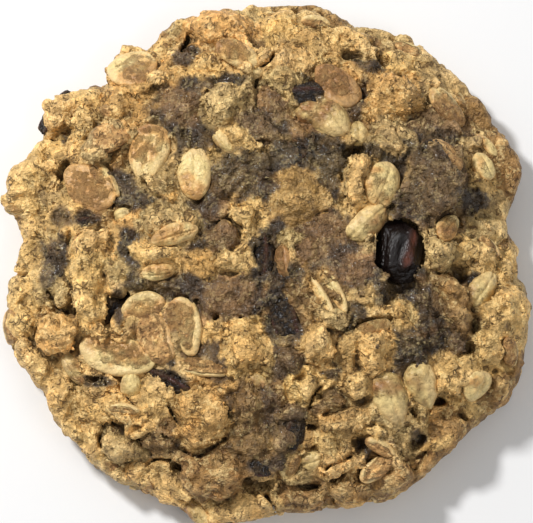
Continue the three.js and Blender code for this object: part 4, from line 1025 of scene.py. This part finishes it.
# ---------------------------------------------------------------- oats
def oat_flake(length, width, thickness, sunken, pale_way, seed, rings, sides):
    """A rolled oat in its own frame: points, faces, how pale each point is near the rim, and how far it lies
    from the palest side."""
    rng = np.random.default_rng(seed)
    angles = np.linspace(0, 2 * np.pi, sides, endpoint=False)
    phase = rng.uniform(0, 6.3, 4)
    outline = 1 + 0.02 * np.sin(2 * angles + phase[0]) + 0.03 * np.sin(3 * angles + phase[1])
    outline += 0.01 * np.sin(7 * angles + phase[2]) + 0.006 * rng.uniform(-1, 1, sides)
    taper = rng.uniform(-0.2, 0.2)
    facing = 0.5 + 0.5 * np.cos(angles - pale_way + 0.5 * np.sin(2 * angles + phase[3]))
    start = 1.02 - 0.36 * facing**1.3 + 0.05 * np.sin(5 * angles + phase[1])
    lip = sunken * (0.05 + 0.3 * facing)
    levels = np.sin(np.linspace(0, np.pi / 2, rings + 1))[1:]
    bend, twist = rng.uniform(-0.1, 0.2) * length / 8, rng.uniform(-0.15, 0.15)
    points, edge, far = [], [], []
    for side in (1, -1):
        points.append((0, 0, side * (0.42 - 0.2 * sunken) * thickness))
        edge.append(0)
        far.append(0.5)
        for level in levels[:-1] if side < 0 else levels:
            u = level * outline * np.cos(angles)
            v = level * outline * np.sin(angles) * (1 - taper * u)
            swell = 0.5 * thickness * (1 - level ** (2.6 + 2.6 * sunken)) ** 0.5
            lipped = smoothstep(level, start - 0.26, start + 0.2)
            dish = lip * thickness * (1 - lipped)
            crease = 0.08 * thickness * np.exp(-((v / 0.10) ** 2)) * (1 - level**4)
            ripple = 0.05 * thickness * np.sin(6 * u + phase[3]) * (1 - level)
            points.extend(zip(u, v, side * (swell - dish - crease + ripple)))
            edge.extend(lipped * (0.3 + 0.7 * facing))
            far.extend(0.5 - 0.5 * level * np.cos(angles - pale_way))
    points = np.array(points)
    u, v = points[:, 0].copy(), points[:, 1].copy()
    points[:, 2] += bend * u * u + twist * u * v
    points *= (length / 2, width / 2, 1)
    ring = np.arange(sides)
    after = (ring + 1) % sides
    top, low = 1, 2 + rings * sides

    def triangles(a, b, c, side=1):
        return np.stack([a, b, c] if side > 0 else [a, c, b], 1)

    faces = [triangles(0 * ring, top + ring, top + after)]
    faces.append(triangles(0 * ring + low - 1, low + ring, low + after, -1))
    for k in range(rings - 1):
        for side, first in ((1, top), (-1, low)):
            a, b = first + k * sides, first + (k + 1) * sides
            if side < 0 and k == rings - 2:
                b = top + (rings - 1) * sides
            faces.append(triangles(a + ring, b + ring, b + after, side))
            faces.append(triangles(a + ring, b + after, a + after, side))
    rough = 0.14 * noise_at(points / 0.7, seed) + 0.24 * noise_at(points / 1.8, seed + 1)
    points[:, 2] += rough * (1 - 0.5 * np.array(edge))
    return points, np.concatenate(faces), np.array(edge), np.array(far)


def gather(pieces):
    """Joins rows of (points, faces, values...) into one set of arrays."""
    points, faces, others, start = [], [], [], 0
    for piece in pieces:
        points.append(piece[0])
        faces.append(piece[1] + start)
        others.append(piece[2:])
        start += len(piece[0])
    return (np.concatenate(points), np.concatenate(faces),
            *[np.concatenate(column) for column in zip(*others)])


def placed(points, matrix):
    matrix = np.array(matrix)
    return points @ matrix[:3, :3].T + matrix[:3, 3]


def oat_colour(toast, pale, far, points, middle):
    """An oat's colour: cream to toasted, browner in places and off the palest side, palest at its rim."""
    pale = np.clip(pale * (1.1 - 0.6 * toast) * (1 + 0.6 * noise_at(points / 1.6, 74)), 0, 1)
    uneven = 0.45 * noise_at(points / 2.4, 72) + 0.35 * noise_at(points / 0.9, 73)
    uneven = uneven + 0.7 * (far - 0.5) - 0.4 * pale
    browned = np.clip(toast + 0.15 + uneven * (0.4 + 0.6 * (toast < 0.6)), 0, 1)
    body = np.tile(linear(OAT_CREAM), (len(points), 1))
    body = blend(body, linear(middle), np.clip(2 * browned, 0, 1))
    body = blend(body, linear(OAT_TOASTED), np.clip(2 * browned - 1, 0, 1))
    body = blend(body, linear(OAT_RIM), 0.65 * pale)
    blotch = 1 + 0.16 * noise_at(points / 1.4, 70) + 0.24 * noise_at(points / 0.5, 71)
    return limited(body * blotch[:, None], BRIGHTEST_OAT)


def wall_oats(rng):
    """More oats by a seeded rule, sunk in the side wall and mostly coated."""
    rows = []
    for _ in range(WALL_OATS):
        angle, length = rng.uniform(0, 2 * math.pi), rng.uniform(4.5, 8.0)
        matrix = wall_frame(angle, rng.uniform(2.2, 5.6))
        matrix = matrix @ Matrix.Rotation(rng.uniform(0, math.pi), 4, "Z")
        tilt = Matrix.Rotation(rng.uniform(-0.3, 0.3), 4, "X")
        tilt = tilt @ Matrix.Rotation(rng.uniform(-0.2, 0.2), 4, "Y")
        rows.append((length, length * rng.uniform(0.5, 0.72), rng.uniform(0.4, 0.7), rng.uniform(1.0, 1.4),
                     rng.uniform(0, 0.3), rng.uniform(0, 2 * math.pi),
                     matrix @ raised(rng.uniform(-0.3, 0.2)) @ tilt))
    return rows


def grain_object(name, pieces, material):
    """One object of many oats or kernels, with their tints, their pale rims and their coats of crumb."""
    points, faces, pale, colours, coats = gather(pieces)
    obj = new_object(name, inside_box(points), faces)
    set_values(obj, tint=colours, rim=pale, coat=coats)
    return dress(obj, material)


def make_oats(material):
    rows = []
    for x, y, length, width, turn, toast, coat, sunken, pale_way in OATS:
        rows.append((length, width, toast, coat, sunken, math.radians(pale_way - turn),
                     oat_place(x, y, length, width, turn)))
    for x, y, length, width, turn, toast, coat, tilt in SLIVERS:
        lift = 0.4 if coat < 0.25 else -0.25
        matrix = resting_frame(x, y, length, width, turn, 1.2) @ Matrix.Rotation(math.radians(tilt), 4, "X")
        rows.append((length, width, toast, coat, 0.2, math.pi / 2, matrix @ raised(lift)))
    rows += wall_oats(np.random.default_rng(SEED + 2))
    pieces = []
    for i, (length, width, toast, coat, sunken, pale_way, matrix) in enumerate(rows):
        listed = i < len(OATS)
        thickness = 2.3 - 0.6 * sunken if listed else 1.1
        fineness = (14, 60) if listed else (8, 36)
        seed = 300 + 2 * i
        flake, faces, pale, far = oat_flake(length, width, thickness, sunken, pale_way, seed, *fineness)
        points = placed(flake, matrix)
        colours = oat_colour(toast, pale, far, points, OAT_MIDDLE)
        pieces.append((points, faces, pale, colours, np.full(len(points), coat)))
    return grain_object("oat_flakes", pieces, material)


def make_kernels(material):
    unit, faces = ball(5)
    pieces = []
    for i, (x, y, length, width, turn, toast, pale_way) in enumerate(KERNELS):
        bumps = 1 + 0.07 * noise_at(unit * 2.2, 100 + i) + 0.035 * noise_at(unit * 5, 140 + i)
        groove = 0.10 * np.exp(-((unit[:, 1] / 0.12) ** 2)) * smoothstep(unit[:, 2], -0.2, 0.6)
        points = unit * (bumps - groove)[:, None] * (length / 2, width / 2, 0.36 * width + 0.4)
        points[:, 1] *= 1 - 0.14 * unit[:, 0]
        points = placed(points, resting_frame(x, y, length, width, turn, 0.8) @ raised(-0.25))
        c, s = cos_sin(pale_way - turn)
        toward = unit[:, 0] * c + unit[:, 1] * s
        pale = smoothstep(toward, -0.2, 0.8)
        colours = oat_colour(toast, 0.8 * pale, 0.5 - 0.2 * toward, points, KERNEL_MIDDLE)
        pieces.append((points, faces, pale, colours, np.full(len(unit), 0.4 * toast)))
    return grain_object("oat_kernels", pieces, material)


# ---------------------------------------------------------------- crumbs
def make_crumbs(dough, material):
    """Loose grains baked onto the dough."""
    rng = np.random.default_rng(SEED + 3)
    points = points_of(dough)
    tints = np.zeros(len(points) * 4, np.float32)
    dough.data.attributes["tint"].data.foreach_get("color", tints)
    tints = tints.reshape(-1, 4)[:, :3]
    hollow = np.zeros(len(points), np.float32)
    dough.data.attributes["hollow"].data.foreach_get("value", hollow)
    inner = outward_share(points) < 0.95
    open_places = np.flatnonzero((hollow < 0.35) & (points[:, 2] > 1.5) & inner)
    chosen = rng.choice(open_places, CRUMBS, replace=False)
    unit, faces = ball(1)
    pieces = []
    for i in chosen:
        size = 0.14 + 0.3 * rng.uniform() ** 2.2
        grain = unit * rng.uniform(0.5, 1.4, (len(unit), 1)) * size * rng.uniform(0.6, 1.3, 3)
        colour = tints[i] * rng.uniform(0.8, 1.1)
        pieces.append((points[i] + grain, faces, np.repeat(colour[None], len(unit), 0)))
    grains, faces, colours = gather(pieces)
    obj = new_object("crumbs", inside_box(grains), faces)
    set_values(obj, tint=colours)
    return dress(obj, material)


# ---------------------------------------------------------------- raisins
def facets(unit):
    """How far out the flat facets and their folds lie in each direction, and how reddish the skin is."""
    reach = np.full(len(unit), 1.15)
    for turn, tip, away in FACETS:
        c, s = cos_sin(turn)
        normal = np.array((tip, c, s)) / math.hypot(tip, 1)
        facing = unit @ normal
        reach = soft_min(reach, np.where(facing > 0.2, away / np.maximum(facing, 0.2), 9.0), 0.05)
    around = np.arctan2(unit[:, 1], unit[:, 2])
    for place, depth in FOLDS:
        off = np.abs(around - place + 0.25 * unit[:, 0])
        reach = reach - depth * np.maximum(0, 1 - off / 0.3) * (1 - unit[:, 0] ** 2)
    off = around - REDDISH_PLACE + 0.25 * unit[:, 0]
    red = np.exp(-((off / 0.24) ** 2)) * smoothstep(np.abs(unit[:, 0]), 0.8, 0.5)
    return reach, red


def make_raisin(row, number, material):
    """A shrivelled raisin: crests along it with hollows between, or flat facets, and fine wrinkles."""
    node, centre, size, turn, crests, depth, dulled, _, _ = row
    faceted = size[0] * size[1] > 70
    unit, faces = ball(6 if faceted or size[0] > 9 else 5)
    around = np.arctan2(unit[:, 1], unit[:, 2])
    girth = np.sqrt(np.maximum(0, 1 - unit[:, 0] ** 2))
    wander = 0.4 * noise_at(unit * 1.3, number)
    between = np.abs(np.sin(0.5 * crests * around + 0.5 * unit[:, 0] + 1.7 * number + 1.57 + wander))
    hollow = depth * girth**0.5 * (1 + 0.4 * noise_at(unit * 1.7, 180 + number)) * between
    wrinkle = np.abs(noise_at(unit * (1.6, 4.4, 4.4), 200 + number))
    fine = np.abs(noise_at(unit * (5, 11, 11), 230 + number))
    tail = 0.07 * np.sin(9 * unit[:, 0] + 5 * wander) * smoothstep(np.abs(unit[:, 0]), 0.5, 0.9)
    blunt = (np.abs(unit) ** 2.6).sum(axis=1) ** (-1 / 2.6)
    if faceted:
        stray = np.stack([noise_at(unit * 2.5, 260 + i) for i in range(3)], -1)
        reach, reddish = facets(unit + 0.05 * stray)
        radius = reach - 0.03 * (1 - np.minimum(wrinkle / 0.2, 1)) - 0.012 * (1 - fine)
    else:
        reddish = 0.5 * np.clip(1 - 2.2 * between, 0, 1)
        wrinkled = 0.07 * (1 - np.minimum(wrinkle / 0.25, 1))
        radius = blunt * (1.05 - hollow - wrinkled - 0.02 * (1 - fine) - tail)
    points = placed(unit * radius[:, None] * np.array(size) / 2, raisin_frame(centre, turn))
    obj = new_object(node + "_skin", inside_box(points), faces)
    set_values(obj, reddish=reddish, dulled=np.full(len(points), dulled))
    dress(obj, material)
    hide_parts(node)
    return obj


# ---------------------------------------------------------------- materials
COLOUR_A, COLOUR_B, MIXED_COLOUR = 6, 7, 2    # the mix node's sockets for colours


class Nodes:
    """Short calls for building one material."""

    def __init__(self, name):
        self.material = bpy.data.materials.new(name)
        self.material.use_nodes = True
        self.tree = self.material.node_tree
        self.shader = self.tree.nodes["Principled BSDF"]

    def link(self, value, socket):
        if isinstance(value, bpy.types.NodeSocket):
            self.tree.links.new(value, socket)
        else:
            socket.default_value = value

    def node(self, kind, output, inputs, **settings):
        """One output of a new node with its settings and inputs."""
        node = self.tree.nodes.new("ShaderNode" + kind)
        for name, value in settings.items():
            setattr(node, name, value)
        for socket, value in inputs.items():
            self.link(value, node.inputs[socket])
        return node.outputs[output]

    def attribute(self, name, output="Fac"):
        return self.node("Attribute", output, {}, attribute_name=name)

    def texture(self, kind, output, place, size, inputs, **settings):
        """A texture with features about size millimetres wide."""
        return self.node(kind, output, {"Vector": place, "Scale": 1 / (size * MM), **inputs}, **settings)

    def place(self):
        return self.node("TexCoord", "Object", {})

    def noise(self, size, detail=3.0, roughness=0.6):
        inputs = {"Detail": detail, "Roughness": roughness}
        return self.texture("TexNoise", "Fac", self.place(), size, inputs)

    def cells(self, size, wander, feature="F1", output="Distance"):
        """Cells with crooked sides: the distance to each one's middle in units of size, or with
        DISTANCE_TO_EDGE to its side, or with Color a random tone for each."""
        stray = self.texture("TexNoise", "Color", self.place(), 1.3 * size, {})
        inputs = {0: stray, 1: (2 * wander * size * MM,) * 3, 2: self.place()}
        shifted = self.node("VectorMath", "Vector", inputs, operation="MULTIPLY_ADD")
        return self.texture("TexVoronoi", output, shifted, size, {}, feature=feature)

    def math(self, operation, a, b):
        return self.node("Math", 0, {0: a, 1: b}, operation=operation)

    def times(self, *factors):
        product = factors[0]
        for factor in factors[1:]:
            product = self.math("MULTIPLY", product, factor)
        return product

    def span(self, value, *limits):
        """A value taken from between the first two limits to between 0 and 1, or the next two."""
        return self.node("MapRange", "Result", dict(enumerate((value, *limits))))

    def mix(self, share, a, b, kind="MIX"):
        inputs = {"Factor": share, COLOUR_A: a, COLOUR_B: b}
        return self.node("Mix", MIXED_COLOUR, inputs, data_type="RGBA", blend_type=kind)

    def bump(self, height, distance, strength=1.0, socket="Normal"):
        inputs = {"Strength": strength, "Distance": distance * MM, "Height": height}
        self.link(self.node("Bump", "Normal", inputs), self.shader.inputs[socket])

    def set(self, **values):
        for name, value in values.items():
            self.link(value, self.shader.inputs[name.replace("_", " ")])


def rgba(rgb):
    return (*linear(rgb).tolist(), 1.0)


def crumb_grain(n, tint, moist):
    """A tint broken up into small facets of crumb, with painted highlights on some facets and painted shade in
    short creases and pores; and the height of these.
    """
    dry = n.span(moist, 0.1, 0.6, 1.0, 0.4)
    patch, fine = n.noise(1.7, 3.0, 0.6), n.noise(0.5, 3.0, 0.65)
    facet, scrap = n.cells(1.3, 0.9, output="Color"), n.cells(0.6, 0.8, output="Color")
    shaded = tint
    for tone, *limits in ((patch, 0.36, 0.64, 0.78, 1.20), (facet, 0.2, 0.8, 0.80, 1.18),
                          (scrap, 0.2, 0.8, 0.80, 1.16), (fine, 0.36, 0.64, 0.82, 1.16)):
        shaded = n.mix(1.0, shaded, n.span(tone, *limits), "MULTIPLY")
    lit = n.times(n.span(facet, 0.58, 0.66), n.span(fine, 0.46, 0.56), dry, 0.4)
    pale = n.mix(lit, shaded, rgba(LIT_CRUMB))
    edge = n.span(n.cells(1.3, 0.9, "DISTANCE_TO_EDGE"), 0.12, 0.02)
    crease = n.times(edge, n.span(n.noise(1.8, 3.0), 0.53, 0.62))
    pore = n.span(n.noise(0.9, 2.0, 0.5), 0.66, 0.70)
    # painted shade: creases and pores darkened where shade would fall in them
    opening = n.times(n.math("MAXIMUM", crease, pore), dry, 0.72)
    opened = n.mix(opening, pale, rgba(PAINTED_PORE_SHADE))
    steps = n.math("ADD", n.times(facet, 0.5), n.times(scrap, 0.3))
    swells = n.math("ADD", n.times(patch, 1.8), n.times(fine, 0.35))
    height = n.math("SUBTRACT", n.math("ADD", steps, swells), n.times(opening, 0.5))
    return opened, height


def dough_material():
    n = Nodes("baked_dough")
    moist = n.attribute("moist")
    colour, height = crumb_grain(n, n.attribute("tint", "Color"), moist)
    n.set(Base_Color=colour, Roughness=n.span(moist, 0.0, 1.0, 0.56, 0.42), Specular_IOR_Level=0.4)
    n.bump(height, 1.0)
    sticky = n.span(n.noise(1.4, 3.0), 0.42, 0.56)
    n.set(Coat_Weight=n.times(n.span(moist, 0.3, 0.9, 0.0, 0.7), sticky), Coat_Roughness=0.1)
    n.bump(n.noise(0.7, 2.0, 0.5), 0.6, 1.0, "Coat Normal")
    return n.material


def oat_material():
    """Smooth pale oat, with crumbs of dough baked on over part of it."""
    n = Nodes("rolled_oats")
    tint, rim = n.attribute("tint", "Color"), n.attribute("rim")
    patch = n.math("ADD", n.times(n.noise(1.3, 5.0, 0.7), 0.8), n.times(n.attribute("coat"), 0.42))
    patch = n.math("SUBTRACT", patch, n.times(rim, 0.6))
    coated = n.span(patch, 0.50, 0.74)
    dough = n.mix(n.span(n.noise(0.8, 3.0), 0.35, 0.65), *map(rgba, OAT_CRUST))
    crumb, height = crumb_grain(n, dough, 0.0)
    streak = n.mix(1.0, tint, n.span(n.noise(0.5, 5.0, 0.75), 0.3, 0.7, 0.72, 1.22), "MULTIPLY")
    rough = n.span(coated, 0.0, 1.0, 0.42, 0.7)
    n.set(Base_Color=n.mix(coated, streak, crumb), Roughness=rough, Specular_IOR_Level=0.45)
    n.bump(n.times(height, n.span(coated, 0.0, 1.0, 0.3, 0.9)), 0.9)
    return n.material


def raisin_material():
    n = Nodes("raisin_skin")
    dulled = n.attribute("dulled")
    blotch = n.noise(1.4, 3.0)
    deep = n.mix(blotch, *map(rgba, RAISIN_SKIN))
    reddish = n.times(n.attribute("reddish"), n.span(blotch, 0.40, 0.6, 0.5, 1.0))
    reddened = n.mix(reddish, deep, rgba(RAISIN_REDDISH))
    crust = n.times(n.span(n.noise(0.9, 5.0, 0.7), 0.46, 0.60), n.times(dulled, 0.85))
    coated = n.mix(crust, reddened, n.mix(n.noise(0.5, 2.0), *map(rgba, RAISIN_CRUST)))
    rough = n.math("ADD", n.span(n.noise(0.8, 2.0), 0.3, 0.7, 0.12, 0.28), n.times(crust, 0.35))
    n.set(Base_Color=coated, Roughness=rough, Specular_IOR_Level=0.45)
    n.bump(n.math("ADD", n.noise(0.45, 3.0), n.times(crust, 0.8)), 0.3, 0.8)
    return n.material


# ---------------------------------------------------------------- stage, light and camera
FRAME_WIDTH = 82.46          # millimetres across the picture, through the cookie's middle
CAMERA_DISTANCE = 450.0
CAMERA_ELEVATION = 80.0
LOOK_AT = (-0.23, 0.08, 8.0)
SENSOR_WIDTH = 36.0
FLOOR_REACH = 900.0
LIGHT_TARGET = (0, 0, 8)
WORLD_STRENGTH = 0.37


def make_floor():
    corners = [(FLOOR_REACH * x, FLOOR_REACH * y, 0) for x, y in ((-1, -1), (1, -1), (1, 1), (-1, 1))]
    floor = new_object("floor", corners, [[0, 1, 2, 3]])
    n = Nodes("floor")
    n.set(Base_Color=(0.9, 0.9, 0.9, 1), Roughness=0.9)
    floor.data.materials.append(n.material)


def area_light(name, place, size, power):
    light = bpy.data.lights.new(name, "AREA")
    light.shape = "DISK"
    light.size = size * MM
    light.energy = power
    obj = linked(name, light)
    obj.location = Vector(place) * MM
    obj.rotation_euler = (Vector(place) - Vector(LIGHT_TARGET)).to_track_quat("Z", "Y").to_euler()


def make_light():
    world = bpy.data.worlds.new("studio")
    world.use_nodes = True
    background = world.node_tree.nodes["Background"]
    background.inputs["Color"].default_value = (1, 1, 1, 1)
    background.inputs["Strength"].default_value = WORLD_STRENGTH
    bpy.context.scene.world = world
    area_light("key", place=(-230, 200, 360), size=70, power=1.85)
    area_light("fill", place=(200, -150, 380), size=200, power=0.25)


def make_camera():
    camera = bpy.data.cameras.new("camera")
    camera.sensor_width = SENSOR_WIDTH
    camera.lens = SENSOR_WIDTH * CAMERA_DISTANCE / FRAME_WIDTH
    camera.clip_start, camera.clip_end = 0.01, 10
    obj = linked("camera", camera)
    level, up = cos_sin(CAMERA_ELEVATION)
    back = Vector((0, -level, up))
    obj.location = (Vector(LOOK_AT) + CAMERA_DISTANCE * back) * MM
    obj.rotation_euler = back.to_track_quat("Z", "Y").to_euler()
    bpy.context.scene.camera = obj


# ---------------------------------------------------------------- building
make_camera()
make_light()
make_floor()
bpy.context.scene.view_settings.view_transform = "Standard"

crust = dough_material()
dough_object = make_dough(crust)
make_crumbs(dough_object, crust)
oats_material = oat_material()
make_oats(oats_material)
make_kernels(oats_material)
skin = raisin_material()
for index, raisin_row in enumerate(RAISINS):
    make_raisin(raisin_row, index, skin)
